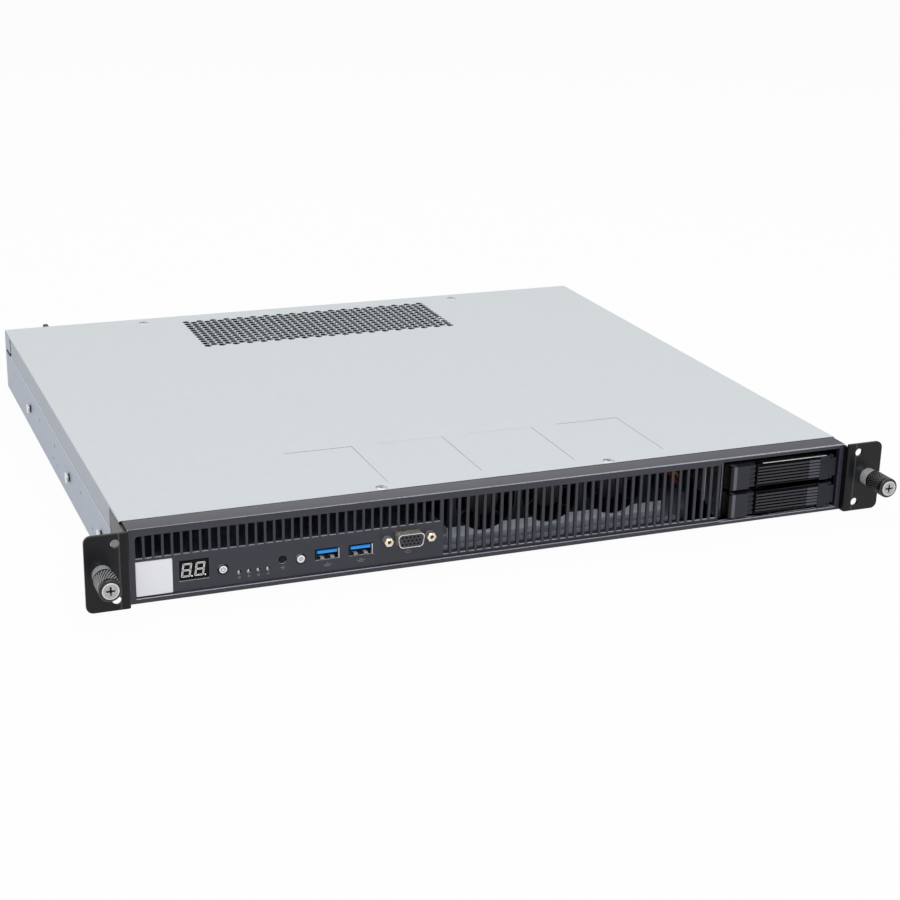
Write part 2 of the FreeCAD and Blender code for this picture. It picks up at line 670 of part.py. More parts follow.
# --- rack ears and thumbscrews ---
def ear_bracket():
    """Right-hand ear: a plate across the front with an arm back along the side wall."""
    inner = HALF_BODY - EAR_ARM_SHEET
    outer = RACK_WIDTH / 2
    plate = block(inner, outer, -EAR_SHEET, 0, BOTTOM, BOTTOM + EAR_HEIGHT)
    plate = rounded_along(plate, (0, 1, 0), EAR_CORNER, lambda c: c.x > outer - 1)
    plate = rounded_along(plate, (0, 0, 1), EAR_ARM_SHEET, lambda c: c.x < inner + 1 and c.y < -1)
    arm = block(inner, HALF_BODY, 0, EAR_ARM_END, BOTTOM, INSIDE_TOP)
    holes = [rod_y(thumbscrew_x(), 0, SPIGOT_D, -EAR_SHEET - 1, 1)]
    for z in (-EAR_HOLE_PITCH / 2, EAR_HOLE_PITCH / 2):
        holes.append(rod_y(outer - EAR_HOLE_EDGE, z, EAR_HOLE_D, -EAR_SHEET - 1, 1))
    return cut(fuse([plate, arm]), holes)


def thumbscrew_x():
    return RACK_WIDTH / 2 - THUMBSCREW_EDGE


def thumbscrew_sleeve():
    """Pressed-in sleeve with an inner shoulder that keeps the screw captive."""
    x = thumbscrew_x()
    body = rod_y(x, 0, SLEEVE_D, SLEEVE_FRONT, -EAR_SHEET)
    spigot = rod_y(x, 0, SPIGOT_D, -EAR_SHEET, -RUN_FIT)
    cavity = rod_y(x, 0, SLEEVE_D - 2 * SLEEVE_WALL, SLEEVE_FRONT + SLEEVE_SHOULDER, 1)
    guide = rod_y(x, 0, SHANK_D + 2 * SHANK_FIT, SLEEVE_FRONT - 1, SLEEVE_FRONT + SLEEVE_SHOULDER + 1)
    return cut(fuse([body, spigot]), [cavity, guide])


def retaining_ring(x):
    """Ring in the shank's groove, just behind the sleeve's shoulder."""
    ring = rod_y(x, 0, RING_D, RING_FRONT, RING_FRONT + RING_SHEET)
    hole = rod_y(x, 0, SHANK_D - 2 * RING_GROOVE + 2 * SHANK_FIT, RING_FRONT - 1, RING_FRONT + RING_SHEET + 1)
    return cut(ring, [hole])


def thumbscrew_screw(x):
    """Turned screw with a cross recess in its head and a groove for the retaining ring."""
    neck = SHANK_D / 2 - RING_GROOVE
    groove = RING_FRONT - RING_GROOVE / 4
    groove_end = RING_FRONT + RING_SHEET + RING_GROOVE / 4
    screw = turned_y(x, 0, [(0, COLLAR_FRONT - SCREW_HEAD), (SCREW_HEAD_D / 2, COLLAR_FRONT - SCREW_HEAD),
                            (SCREW_HEAD_D / 2, COLLAR_FRONT), (SHANK_D / 2, COLLAR_FRONT),
                            (SHANK_D / 2, groove), (neck, groove), (neck, groove_end),
                            (SHANK_D / 2, groove_end), (SHANK_D / 2, SCREW_POINT), (0, SCREW_POINT)])
    length, width, depth = CROSS
    y0 = COLLAR_FRONT - SCREW_HEAD - 1
    y1 = COLLAR_FRONT - SCREW_HEAD + depth
    recess = [block(x - length / 2, x + length / 2, y0, y1, -width / 2, width / 2),
              block(x - width / 2, x + width / 2, y0, y1, -length / 2, length / 2)]
    return cut(screw, recess)


def thumbscrew_collar(x):
    """Finger grip: a cup over the sleeve, pressed on the screw, with a plain lip before the grip."""
    outer = COLLAR_D / 2
    groove = outer - COLLAR_GROOVE
    lip = COLLAR_FRONT + COLLAR_LIP
    grip = turned_y(x, 0, [(0, COLLAR_FRONT), (outer - COLLAR_CHAMFER, COLLAR_FRONT),
                           (outer, COLLAR_FRONT + COLLAR_CHAMFER), (outer, lip), (groove, lip),
                           (groove, lip + COLLAR_GROOVE), (outer, lip + COLLAR_GROOVE),
                           (outer, COLLAR_REAR - COLLAR_CHAMFER / 2),
                           (outer - COLLAR_CHAMFER / 2, COLLAR_REAR), (0, COLLAR_REAR)])
    bore = rod_y(x, 0, COLLAR_BORE_D, COLLAR_FRONT + COLLAR_WEB, COLLAR_REAR + 1)
    hole = rod_y(x, 0, SHANK_D, COLLAR_FRONT - 1, COLLAR_FRONT + COLLAR_WEB + 1)
    return cut(grip, [bore, hole])


# --- bezel ---
def bezel_openings():
    """Grille slots, control holes and the drive bay, cut straight through the panel."""
    tools = []
    y0 = BEZEL_FRONT - 1
    y1 = PANEL_REAR + 1
    for i in range(SHORT_SLOTS):
        x = SHORT_SLOT_START + SHORT_SLOT_PITCH * i
        tools.append(block(x, x + SHORT_SLOT_WIDTH, y0, y1, SHORT_SLOT_BOTTOM, SLOT_TOP))
    for i in range(LONG_SLOTS):
        x = LONG_SLOT_START + LONG_SLOT_PITCH * i
        tools.append(block(x, x + LONG_SLOT_WIDTH, y0, y1, LONG_SLOT_BOTTOM, SLOT_TOP))
    half_w = DISPLAY_WIDTH / 2 + PORT_GAP
    half_h = DISPLAY_HEIGHT / 2 + PORT_GAP
    tools.append(block(DISPLAY_X - half_w, DISPLAY_X + half_w, y0, y1, DISPLAY_Z - half_h, DISPLAY_Z + half_h))
    for x, z, diameter, front in BUTTONS.values():
        tools.append(rod_y(x, z, diameter + 2 * BUTTON_GAP, y0, y1))
    for x in light_places():
        tools.append(rod_y(x, LED_Z, LED_D + 2 * LED_GAP, y0, y1))
    for x in USB_X:
        half_w = USB_WIDTH / 2 + PORT_GAP
        half_h = USB_HEIGHT / 2 + PORT_GAP
        tools.append(block(x - half_w, x + half_w, y0, y1, USB_Z - half_h, USB_Z + half_h))
    outline = d_profile(VGA_WIDTH + 2 * PORT_GAP, VGA_HEIGHT + 2 * PORT_GAP, y1 - y0)
    outline.translate(V(VGA_X, y0, VGA_Z))
    tools.append(outline)
    for side in (-1, 1):
        tools.append(rod_y(VGA_X + side * JACK_SPACING / 2, VGA_Z, JACK_THREAD_D + 2 * PORT_GAP, y0, y1))
    tools.append(block(BAY_X[0], BAY_X[1], y0, y1, BAY_Z[0], BAY_Z[1]))
    return tools


def front_bezel():
    half = BEZEL_WIDTH / 2
    shell = block(-half, half, BEZEL_FRONT, BEZEL_REAR, BOTTOM, TOP)
    recess = block(-half + RIM_SIDE, half - RIM_SIDE, BEZEL_FRONT - 1, PANEL_FRONT,
                   BOTTOM + RIM_BOTTOM, TOP - RIM_TOP)
    recess = rounded_along(recess, (0, 1, 0), RIM_CORNER, lambda c: c.x < 0 and c.z > 0)
    hollow = block(-half + BEZEL_WALL, half - BEZEL_WALL, PANEL_REAR, BEZEL_REAR + 1,
                   BOTTOM + BEZEL_WALL, TOP - BEZEL_WALL)
    shell = cut(shell, [recess, hollow])
    return cut(shell, bezel_openings())


def name_plate():
    plate = block(PLATE_X - PLATE_WIDTH / 2, PLATE_X + PLATE_WIDTH / 2, PANEL_FRONT - PLATE_THICK, PANEL_FRONT,
                  PLATE_Z - PLATE_HEIGHT / 2, PLATE_Z + PLATE_HEIGHT / 2)
    return rounded_along(plate, (0, 1, 0), PLATE_CORNER, lambda c: True)


# --- front controls ---
def control_board():
    """Board with the three push switches soldered behind their buttons."""
    x0, x1 = CONTROL_BOARD_X
    y0, y1 = CONTROL_BOARD_Y
    pieces = [block(x0, x1, y0, y1, CONTROL_BOARD_Z - BOARD, CONTROL_BOARD_Z)]
    half = SWITCH_WIDTH / 2
    for x, z, diameter, front in BUTTONS.values():
        rear = SWITCH_FRONT + SWITCH_DEPTH
        pieces.append(block(x - half, x + half, SWITCH_FRONT, rear, CONTROL_BOARD_Z, z + half))
    return fuse(pieces)


def status_display():
    x0 = DISPLAY_X - DISPLAY_WIDTH / 2
    x1 = DISPLAY_X + DISPLAY_WIDTH / 2
    front = block(x0, x1, PANEL_FRONT + DISPLAY_SINK, DISPLAY_REAR,
                  DISPLAY_Z - DISPLAY_HEIGHT / 2, DISPLAY_Z + DISPLAY_HEIGHT / 2)
    foot = block(x0, x1, PANEL_REAR + DISPLAY_FOOT, DISPLAY_REAR, CONTROL_BOARD_Z, DISPLAY_Z)
    return fuse([front, foot])


def button(name):
    """Cap, a retaining flange behind the panel, and a stem that ends short of its switch."""
    x, z, diameter, front = BUTTONS[name]
    shoulder = PANEL_REAR + GAP
    rear = shoulder + BUTTON_FLANGE_SHEET
    cap = rod_y(x, z, diameter, front, shoulder)
    flange = rod_y(x, z, diameter + 2 * BUTTON_FLANGE, shoulder, rear)
    stem = rod_y(x, z, BUTTON_STEM_D, rear, SWITCH_FRONT - PRESS_TRAVEL - GAP)
    return fuse([cap, flange, stem])


def light_places():
    return [LED_START + LED_PITCH * i for i in range(LEDS)]


def status_lights():
    """Light pipes, each with its lamp standing on the control board behind."""
    width, depth, height = LED_LAMP
    lamp_front = PANEL_REAR + width
    lights = []
    for x in light_places():
        pipe = rod_y(x, LED_Z, LED_D, PANEL_FRONT + LED_GAP, lamp_front)
        lamp = block(x - width / 2, x + width / 2, lamp_front, lamp_front + depth,
                     CONTROL_BOARD_Z, CONTROL_BOARD_Z + height)
        lights.append(fuse([pipe, lamp]))
    return lights


def usb_shell(height):
    """Folded steel shell at its own origin: mouth at Y = 0 facing -Y, with two legs to the board."""
    w = USB_WIDTH / 2
    h = USB_HEIGHT / 2
    t = USB_SHEET
    shell = block(-w, w, 0, USB_LENGTH, -h, h)
    mouth = block(-w + t, w - t, -1, USB_LENGTH - t, -h + t, h - t)
    y0, y1 = USB_LEG
    legs = [block(-w, -w + t, y0, y1, -height, -h), block(w - t, w, y0, y1, -height, -h)]
    return cut(fuse([shell] + legs), [mouth])


def usb_tongue():
    """Moulded contact carrier: a root that fills the shell's end and a flat tongue near its top."""
    w = USB_WIDTH / 2 - USB_SHEET
    h = USB_HEIGHT / 2 - USB_SHEET
    root_front = USB_LENGTH - USB_ROOT
    root = block(-w, w, root_front, USB_LENGTH - USB_SHEET, -h, h)
    side = w - 2 * USB_SHEET
    top = h - USB_SHEET
    tongue = block(-side, side, USB_TONGUE_SINK, root_front, top - USB_TONGUE, top)
    return fuse([root, tongue])


def placed(shape, x, y, z, turn=0):
    copy = shape.copy()
    copy.rotate(V(0, 0, 0), V(0, 0, 1), turn)
    copy.translate(V(x, y, z))
    return copy


def rear_usb_heights():
    first = MAIN_TOP + USB_HEIGHT / 2 + USB_PROUD
    return [first, first + USB_HEIGHT + USB_STACK_GAP]


def usb_places():
    """Place, turn and leg length of each USB socket: two at the front, two stacked at the rear."""
    places = [(x, PANEL_FRONT - USB_PROUD, USB_Z, 0, USB_Z - CONTROL_BOARD_Z) for x in USB_X]
    first, second = rear_usb_heights()
    rear = CHASSIS_REAR + REAR_PROUD
    places.append((REAR_USB_X, rear, first, 180, first - MAIN_TOP))
    places.append((REAR_USB_X, rear, second, 180, second - first - USB_HEIGHT / 2))
    return places


def usb_shells():
    return [placed(usb_shell(leg), x, y, z, turn) for x, y, z, turn, leg in usb_places()]


def usb_tongues():
    return [placed(usb_tongue(), x, y, z, turn) for x, y, z, turn, leg in usb_places()]


def d_profile(width, height, depth):
    """D-shaped prism along +Y from Y = 0: wider at the top, with round corners."""
    points = [(-width / 2 + VGA_LEAN, 0, -height / 2), (width / 2 - VGA_LEAN, 0, -height / 2),
              (width / 2, 0, height / 2), (-width / 2, 0, height / 2)]
    solid = prism(points, (0, depth, 0))
    return rounded_along(solid, (0, 1, 0), VGA_CORNER, lambda c: True)


def vga_shell(flange_y, height):
    """Steel shell with its flange plate; the panel's front face is at Y = 0."""
    front = -VGA_SHELL
    half = JACK_SPACING / 2
    plate_y = flange_y + VGA_FLANGE
    skin = d_profile(VGA_WIDTH, VGA_HEIGHT, flange_y - front)
    skin.translate(V(0, front, 0))
    plate = block(-half - JACK_THREAD_D, half + JACK_THREAD_D, flange_y, plate_y,
                  -VGA_HEIGHT / 2 - VGA_PLATE_EDGE, VGA_HEIGHT / 2 + VGA_PLATE_EDGE)
    leg = block(-half, half, plate_y, flange_y + VGA_BODY, -height, -VGA_HEIGHT / 2)
    hollow = d_profile(VGA_WIDTH - 2 * VGA_SHEET, VGA_HEIGHT - 2 * VGA_SHEET, plate_y + 1 - front)
    hollow.translate(V(0, front - 1, 0))
    holes = [hollow]
    for side in (-1, 1):
        holes.append(rod_y(side * half, 0, JACK_THREAD_D, flange_y - 1, plate_y + 1))
    return cut(fuse([skin, plate, leg]), holes)


def vga_insert(flange_y):
    """Moulded contact block that fills the shell, with its body behind the flange."""
    back_y = flange_y + VGA_FLANGE
    core = d_profile(VGA_WIDTH - 2 * VGA_SHEET, VGA_HEIGHT - 2 * VGA_SHEET, back_y + VGA_SHELL - VGA_SHEET)
    core.translate(V(0, -VGA_SHELL + VGA_SHEET, 0))
    half = VGA_HEIGHT / 2
    back = block(-VGA_WIDTH / 2, VGA_WIDTH / 2, back_y, flange_y + VGA_BODY, -half, half + VGA_BODY_RISE)
    return fuse([core, back])


def jack_screw(flange_y):
    """Hexagonal standoff screw with a threaded bore, through the panel and the flange."""
    radius = JACK_HEX / math.sqrt(3)
    points = []
    for i in range(6):
        angle = math.radians(60 * i + 30)
        points.append((radius * math.cos(angle), -JACK_LENGTH, radius * math.sin(angle)))
    head = prism(points, (0, JACK_LENGTH, 0))
    shank = rod_y(0, 0, JACK_THREAD_D, 0, flange_y + VGA_FLANGE + JACK_THREAD_END)
    bore = rod_y(0, 0, JACK_THREAD_D, -JACK_LENGTH - 1, -JACK_LENGTH / 4)
    return cut(fuse([head, shank]), [bore])


def vga_places():
    """Place, turn, panel thickness and height above its board of each video socket."""
    return [(VGA_X, PANEL_FRONT, VGA_Z, 0, PANEL, VGA_Z - CONTROL_BOARD_Z),
            (REAR_VGA_X, CHASSIS_REAR, REAR_VGA_Z, 180, SHEET, REAR_VGA_Z - MAIN_TOP)]


def vga_shells():
    return [placed(vga_shell(flange, leg), x, y, z, turn) for x, y, z, turn, flange, leg in vga_places()]


def vga_inserts():
    return [placed(vga_insert(flange), x, y, z, turn) for x, y, z, turn, flange, leg in vga_places()]


def jack_screws():
    screws = []
    for x, y, z, turn, flange, leg in vga_places():
        for side in (-1, 1):
            screws.append(placed(jack_screw(flange), x + side * JACK_SPACING / 2, y, z, turn))
    return screws


# --- drive bay ---
def drive_cage():
    """Folded cage: roof, two walls with pairs of runners, and feet on the floor."""
    x0, x1 = CAGE_X
    low = BOTTOM + BEZEL_WALL + PORT_GAP / 3
    foot, length = CAGE_FOOT
    back = CAGE_BACKSET
    pieces = [block(x0 - SHEET, x1 + SHEET, CAGE_FRONT, CAGE_REAR, CAGE_TOP, CAGE_TOP + SHEET),
              block(x0 - SHEET, x0, CAGE_FRONT, CAGE_REAR, low, CAGE_TOP),
              block(x1, x1 + SHEET, CAGE_FRONT, CAGE_REAR, low, CAGE_TOP),
              block(x0 - SHEET, x0, back, CAGE_REAR, FLOOR, low),
              block(x1, x1 + SHEET, back, CAGE_REAR, FLOOR, low),
              block(x0 - SHEET - foot, x0 - SHEET, back, back + length, FLOOR, FLOOR + SHEET),
              block(x0 - SHEET - foot / 2, x0 - SHEET, CAGE_REAR - length, CAGE_REAR, FLOOR, FLOOR + SHEET)]
    for z in TRAY_BOTTOMS.values():
        pieces.append(block(x0, x0 + RUNNER, back, CAGE_REAR, z - GAP - SHEET, z - GAP))
        pieces.append(block(x1 - RUNNER, x1, back, CAGE_REAR, z - GAP - SHEET, z - GAP))
    return fuse(pieces)


def drive_backplane():
    """Board across the cage's rear with one connector per drive and the power header at its left."""
    y0 = CAGE_REAR
    board = block(PLUG_X[0] - 1, CAGE_X[1] + SHEET, y0, y0 + BOARD, FLOOR + 1, CAGE_TOP + SHEET)
    pieces = [board]
    width, height = DRIVE_PLUG
    left = (TRAY_X[0] + TRAY_X[1]) / 2 - width / 4
    for z in TRAY_BOTTOMS.values():
        low = z + 2 * TRAY_SHEET
        pieces.append(block(left, left + width, DRIVE_FRONT + DRIVE_LENGTH + GAP, y0, low, low + height))
    return fuse(pieces)


def tray(which):
    """Carrier: front plate with lever ears, two rails and a windowed floor round one drive."""
    x0, x1 = TRAY_X
    z0 = TRAY_BOTTOMS[which]
    z1 = z0 + TRAY_HEIGHT
    y0, y1 = TRAY_PLATE
    rail = (x1 - x0 - DRIVE_WIDTH) / 2
    floor_rear = TRAY_REAR - TRAY_FLOOR_BACKSET
    pieces = [block(x0, x1, y0, y1, z0, z1),
              block(x0, x0 + rail, y1, TRAY_REAR, z0, z0 + TRAY_RAIL_HEIGHT),
              block(x1 - rail, x1, y1, TRAY_REAR, z0, z0 + TRAY_RAIL_HEIGHT),
              block(x0 + rail, x1 - rail, y1, floor_rear, z0, z0 + TRAY_SHEET)]
    knuckle = LEVER_KNUCKLE
    for low in (z0, z1 - knuckle):
        pieces.append(block(LEVER_PIN_X - knuckle, LEVER_PIN_X + knuckle, LEVER_PIN_Y, y0, low, low + knuckle))
        pieces.append(rod_z(LEVER_PIN_X, LEVER_PIN_Y, 2 * knuckle, low, low + knuckle))
    guide = latch_guide_x()
    middle = (z0 + z1) / 2
    neck_width, neck_height = LATCH_NECK
    left, right, edge = TRAY_FACE_WINDOW
    tools = [block(guide - LATCH_TRAVEL - GAP, guide + neck_width + GAP, y0 - 1, y1 + 1,
                   middle - neck_height / 2 - GAP, middle + neck_height / 2 + GAP),
             block(LEVER_LEFT + left, LEVER_PIN_X - right, y0 - 1, y1 + 1, z0 + edge, z1 - edge),
             rod_z(LEVER_PIN_X, LEVER_PIN_Y, LEVER_PIN_D, z0 - 1, z1 + 1),
             block(x0 + TRAY_WINDOW_SIDE, x1 - TRAY_WINDOW_SIDE, y1 + TRAY_WINDOW_ENDS[0],
                   floor_rear - TRAY_WINDOW_ENDS[1], z0 - 1, z0 + TRAY_SHEET + 1)]
    return cut(fuse(pieces), tools)


def latch_guide_x():
    """Left edge of the latch's guide neck."""
    return TRAY_X[0] + LATCH_WIDTH / 2 + GAP


def lever(which):
    """Pull lever hinged at its right end: a framed window with ribs that show as louvres."""
    z0 = TRAY_BOTTOMS[which]
    z1 = z0 + TRAY_HEIGHT
    knuckle = LEVER_KNUCKLE + GAP
    edge = LEVER_EDGE
    skin_back = TRAY_FACE + LEVER_SKIN
    left = LEVER_LEFT + edge
    right = LEVER_PIN_X - LEVER_RIB_END - knuckle
    flange_right = LEVER_PIN_X - LEVER_BARREL_D - knuckle
    sheet = LEVER_FLANGE
    flange_back = LATCH_BACK - sheet
    low = z0 + RECESS_EDGE
    high = z1 - RECESS_EDGE
    body = fuse([block(LEVER_LEFT, LEVER_RIGHT, TRAY_FACE, skin_back, z0, z1),
                 rod_z(LEVER_PIN_X, LEVER_PIN_Y, LEVER_BARREL_D, z0 + knuckle, z1 - knuckle),
                 block(LEVER_LEFT, left, skin_back, LATCH_BACK, z0 + sheet, z1 - sheet),
                 block(left, flange_right, skin_back, flange_back, low, low + sheet),
                 block(left, flange_right, skin_back, flange_back, high - sheet, high)])
    ear_left = LEVER_PIN_X - LEVER_KNUCKLE - LEVER_EAR_CLEAR
    sill = low + edge - 2 * RECESS_EDGE
    head = high - edge + 2 * RECESS_EDGE
    tools = [block(left, right, TRAY_FACE - 1, skin_back + 1, sill, head),
             block(ear_left, LEVER_RIGHT + 1, TRAY_FACE - 1, LATCH_BACK, z0 - 1, z0 + knuckle),
             block(ear_left, LEVER_RIGHT + 1, TRAY_FACE - 1, LATCH_BACK, z1 - knuckle, z1 + 1),
             rod_z(LEVER_PIN_X, LEVER_PIN_Y, LEVER_PIN_D + 2 * RUN_FIT, z0, z1)]
    return fuse([cut(body, tools)] + lever_ribs(left, right, sill, head))


def lever_ribs(left, right, z0, z1):
    """Louvre ribs sunk behind the lever's face, each with a raised end at the right."""
    pitch = (z1 - z0) / LEVER_RIBS
    half = LEVER_RIB / 2
    skin_back = TRAY_FACE + LEVER_SKIN
    ribs = []
    for i in range(LEVER_RIBS):
        z = z0 + pitch * (i + 0.5)
        ribs.append(block(left, right, TRAY_FACE + LEVER_SKIN / 2, skin_back + LEVER_EDGE, z - half, z + half))
        ribs.append(block(right - LEVER_RIB_END, right, TRAY_FACE + RECESS_EDGE, skin_back,
                          z - half, z + half))
    return ribs


def lever_pin(which):
    z0 = TRAY_BOTTOMS[which]
    return rod_z(LEVER_PIN_X, LEVER_PIN_Y, LEVER_PIN_D, z0, z0 + TRAY_HEIGHT)


def latch(which):
    """Sliding release: thumb block, ribbed grip and a guide tongue through the tray's front plate."""
    z0 = TRAY_BOTTOMS[which] + RECESS_EDGE
    z1 = TRAY_BOTTOMS[which] + TRAY_HEIGHT - RECESS_EDGE
    x0 = TRAY_X[0] + GAP
    x1 = x0 + LATCH_WIDTH
    x2 = x1 + LATCH_GRIP
    thumb = block(x0, x1, TRAY_FACE - 2 * RECESS_EDGE, LATCH_BACK, z0, z1)
    thumb = rounded_along(thumb, (0, 0, 1), 4 * RECESS_EDGE, lambda c: c.y < TRAY_FACE)
    grip_front = TRAY_FACE + 8 * RECESS_EDGE
    grip = block(x1, x2, grip_front, LATCH_BACK, z0, z1)
    ribs = []
    pitch = (z1 - z0) / LATCH_RIBS
    rib = pitch * LATCH_RIB_SHARE
    for i in range(LATCH_RIBS):
        z = z0 + pitch * (i + 0.5)
        ribs.append(block(x1, x2, grip_front - LATCH_RIB_PROUD, grip_front, z - rib, z + rib))
    guide = latch_guide_x()
    middle = (z0 + z1) / 2
    back = TRAY_PLATE[1] + GAP
    width, height = LATCH_NECK
    neck = block(guide, guide + width, LATCH_BACK, back, middle - height / 2, middle + height / 2)
    head_width, head_height = LATCH_HEAD
    edge = (head_width - width) / 2
    head = block(guide - edge, guide + width + edge, back, back + 1.0,
                 middle - head_height / 2, middle + head_height / 2)
    return fuse([thumb, grip] + ribs + [neck, head])


def drive(which):
    """2.5 inch drive that lies on the tray's floor between the rails, its top rim a step lower."""
    centre = (TRAY_X[0] + TRAY_X[1]) / 2
    half = DRIVE_WIDTH / 2
    z0 = TRAY_BOTTOMS[which] + TRAY_SHEET
    z1 = z0 + DRIVE_HEIGHT
    rear = DRIVE_FRONT + DRIVE_LENGTH
    body = block(centre - half, centre + half, DRIVE_FRONT, rear, z0, z1 - DRIVE_STEP)
    inner = half - DRIVE_RIM
    raised = block(centre - inner, centre + inner, DRIVE_FRONT + DRIVE_RIM, rear - DRIVE_RIM,
                   z1 - DRIVE_STEP, z1)
    return fuse([body, raised])


# --- fans ---
def blade(x, z, tip, y0, y1):
    """One twisted vane between the hub and the tip circle."""
    sections = []
    for radius, twist in zip((HUB_D / 2 - BLADE_THICK / 2, tip), BLADE_TWIST):
        half = (y1 - y0) / 2 * math.tan(math.radians(twist)) * BLADE_SPREAD
        points = [V(x - half, y0, z + radius), V(x - half + BLADE_THICK, y0, z + radius),
                  V(x + half + BLADE_THICK / 2, y1, z + radius), V(x + half - BLADE_THICK / 2, y1, z + radius)]
        sections.append(Part.makePolygon(points + points[:1]))
    return Part.makeLoft(sections, True, True)


def fan_rotor(x, z, y0, depth, bore):
    """Domed hub with its ring of blades and the axle that runs in the motor seat behind."""
    y1 = y0 + depth
    hub = turned_y(x, z, [(0, y0), (HUB_D / 2 - HUB_DOME, y0), (HUB_D / 2, y0 + HUB_DOME), (HUB_D / 2, y1),
                          (AXLE_D / 2, y1), (AXLE_D / 2, y1 + AXLE_LENGTH), (0, y1 + AXLE_LENGTH)])
    vane = blade(x, z, bore / 2 - BLADE_TIP_GAP, y0 + HUB_DOME, y1 - BEARING_FLOOR)
    vanes = []
    for i in range(BLADES):
        copy = vane.copy()
        copy.rotate(V(x, 0, z), V(0, 1, 0), 360.0 * i / BLADES)
        vanes.append(copy)
    return fuse([hub] + vanes)


def fan_struts(x, z):
    """Motor seat carried by four arms across the exhaust side."""
    y0 = FAN_REAR - STRUT_DEPTH
    seat = rod_y(x, z, HUB_D, y0, FAN_REAR)
    half = STRUT_WIDTH / 2
    arms = []
    for angle in (45, 135, 225, 315):
        arm = block(x, x + FAN_BORE / 2 + STRUT_BITE, y0 + STRUT_SINK, FAN_REAR, z - half, z + half)
        arm.rotate(V(x, 0, z), V(0, 1, 0), angle)
        arms.append(arm)
    bearing = rod_y(x, z, AXLE_D + 2 * RUN_FIT, y0 - 1, FAN_REAR - GAP)
    return cut(fuse([seat] + arms), [bearing])


def fan_frame(x):
    """Square flanges at both ends of a round duct, with the motor seat at the rear."""
    half = FAN_SIZE / 2
    body = block(x - half, x + half, FAN_FRONT, FAN_REAR, FAN_Z - half, FAN_Z + half)
    body = rounded_along(body, (0, 1, 0), FRAME_CORNER, lambda c: True)
    waist = block(x - half - 1, x + half + 1, FAN_FRONT + FRAME_LIP, FAN_REAR - FRAME_LIP,
                  FAN_Z - half - 1, FAN_Z + half + 1)
    duct = rod_y(x, FAN_Z, FAN_BORE + 2 * FRAME_SKIN, FAN_FRONT + FRAME_LIP, FAN_REAR - FRAME_LIP)
    bore = rod_y(x, FAN_Z, FAN_BORE, FAN_FRONT - 1, FAN_REAR + 1)
    return fuse([cut(body, [cut(waist, [duct]), bore]), fan_struts(x, FAN_Z)])


def fan_bracket():
    """Upright wall in front of the fans with a round intake for each and feet on the floor."""
    x0 = FAN_X[0] - FAN_SIZE / 2 - FAN_SIDE_GAP
    x1 = FAN_X[-1] + FAN_SIZE / 2 + FAN_SIDE_GAP
    left = x0 - SHEET
    right = x1 + SHEET
    y0 = FAN_WALL_FRONT
    y1 = FAN_REAR
    tab, tab_height = BRACKET_TAB
    pieces = [block(x0, x1, y0, FAN_FRONT, FLOOR, INSIDE_TOP),
              block(left, x0, y0, y1, FLOOR, INSIDE_TOP),
              block(x1, right, y0, y1, FLOOR, INSIDE_TOP),
              block(left - BRACKET_FOOT, left, y0 + 3, y1 - 3, FLOOR, FLOOR + SHEET),
              block(right, right + BRACKET_FOOT, y0 + 3, y1 - 3, FLOOR, FLOOR + SHEET),
              block(right, right + tab, y0, FAN_FRONT, FLOOR, FLOOR + tab_height)]
    holes = [rod_y(x, FAN_Z, FAN_INTAKE_D, y0 - 1, FAN_FRONT + 1) for x in FAN_X]
    return cut(fuse(pieces), holes)


# --- boards and cooling ---
def standoff_places():
    """X, Y and underside of the board at each pillar: nine under the mainboard, three under the controls."""
    x0, x1 = MAIN_X[0] + PILLAR_INSET, MAIN_X[1] - PILLAR_INSET
    y0, y1 = MAIN_Y[0] + PILLAR_INSET, MAIN_Y[1] - 2 * PILLAR_INSET
    places = []
    for x in (x0, (x0 + x1) / 2, x1):
        for y in (y0, (y0 + y1) / 2, y1):
            places.append((x, y, MAIN_BOTTOM))
    x0, x1 = CONTROL_BOARD_X[0] + PILLAR_INSET, CONTROL_BOARD_X[1] - PILLAR_INSET
    for x in (x0, (x0 + x1) / 2, x1):
        places.append((x, CONTROL_BOARD_Y[1] - PILLAR_INSET, CONTROL_BOARD_Z - BOARD))
    return places


def board_standoffs():
    return [hexagon_z(x, y, FLOOR, PILLAR_D, top - FLOOR) for x, y, top in standoff_places()]


def mainboard():
    return block(MAIN_X[0], MAIN_X[1], MAIN_Y[0], MAIN_Y[1], MAIN_BOTTOM, MAIN_TOP)


def heat_sink():
    """Passive sink: socket block, base plate and a row of fins along the air stream."""
    x0, x1 = SINK_X
    y0, y1 = SINK_Y
    inset = SINK_SOCKET_INSET
    base_bottom = MAIN_TOP + SINK_SOCKET
    base_top = base_bottom + SINK_BASE
    pieces = [block(x0 + inset, x1 - inset, y0 + inset, y1 - inset, MAIN_TOP, base_bottom),
              block(x0, x1, y0, y1, base_bottom, base_top)]
    pitch = (x1 - x0 - FIN) / (SINK_FINS - 1)
    for i in range(SINK_FINS):
        x = x0 + pitch * i
        pieces.append(block(x, x + FIN, y0, y1, base_top, SINK_TOP))
    return fuse(pieces)


def air_duct():
    """Thin guide from the fans to the heat sink: a roof and two side walls on the mainboard."""
    x0 = FAN_X[0] - FAN_SIZE / 2
    x1 = FAN_X[-1] + FAN_SIZE / 2
    y1 = SINK_Y[0] - DUCT_GAP
    roof = block(x0 - SHEET, x1 + SHEET, FAN_REAR + GAP, y1, INSIDE_TOP - SHEET, INSIDE_TOP)
    plug_clear = MAIN_Y[0] + DUCT_PLUG_CLEAR
    legs = [block(x0 - SHEET, x0, MAIN_Y[0], y1, MAIN_TOP, INSIDE_TOP - SHEET),
            block(x1, x1 + SHEET, plug_clear, y1, MAIN_TOP, INSIDE_TOP - SHEET)]
    return fuse([roof] + legs)


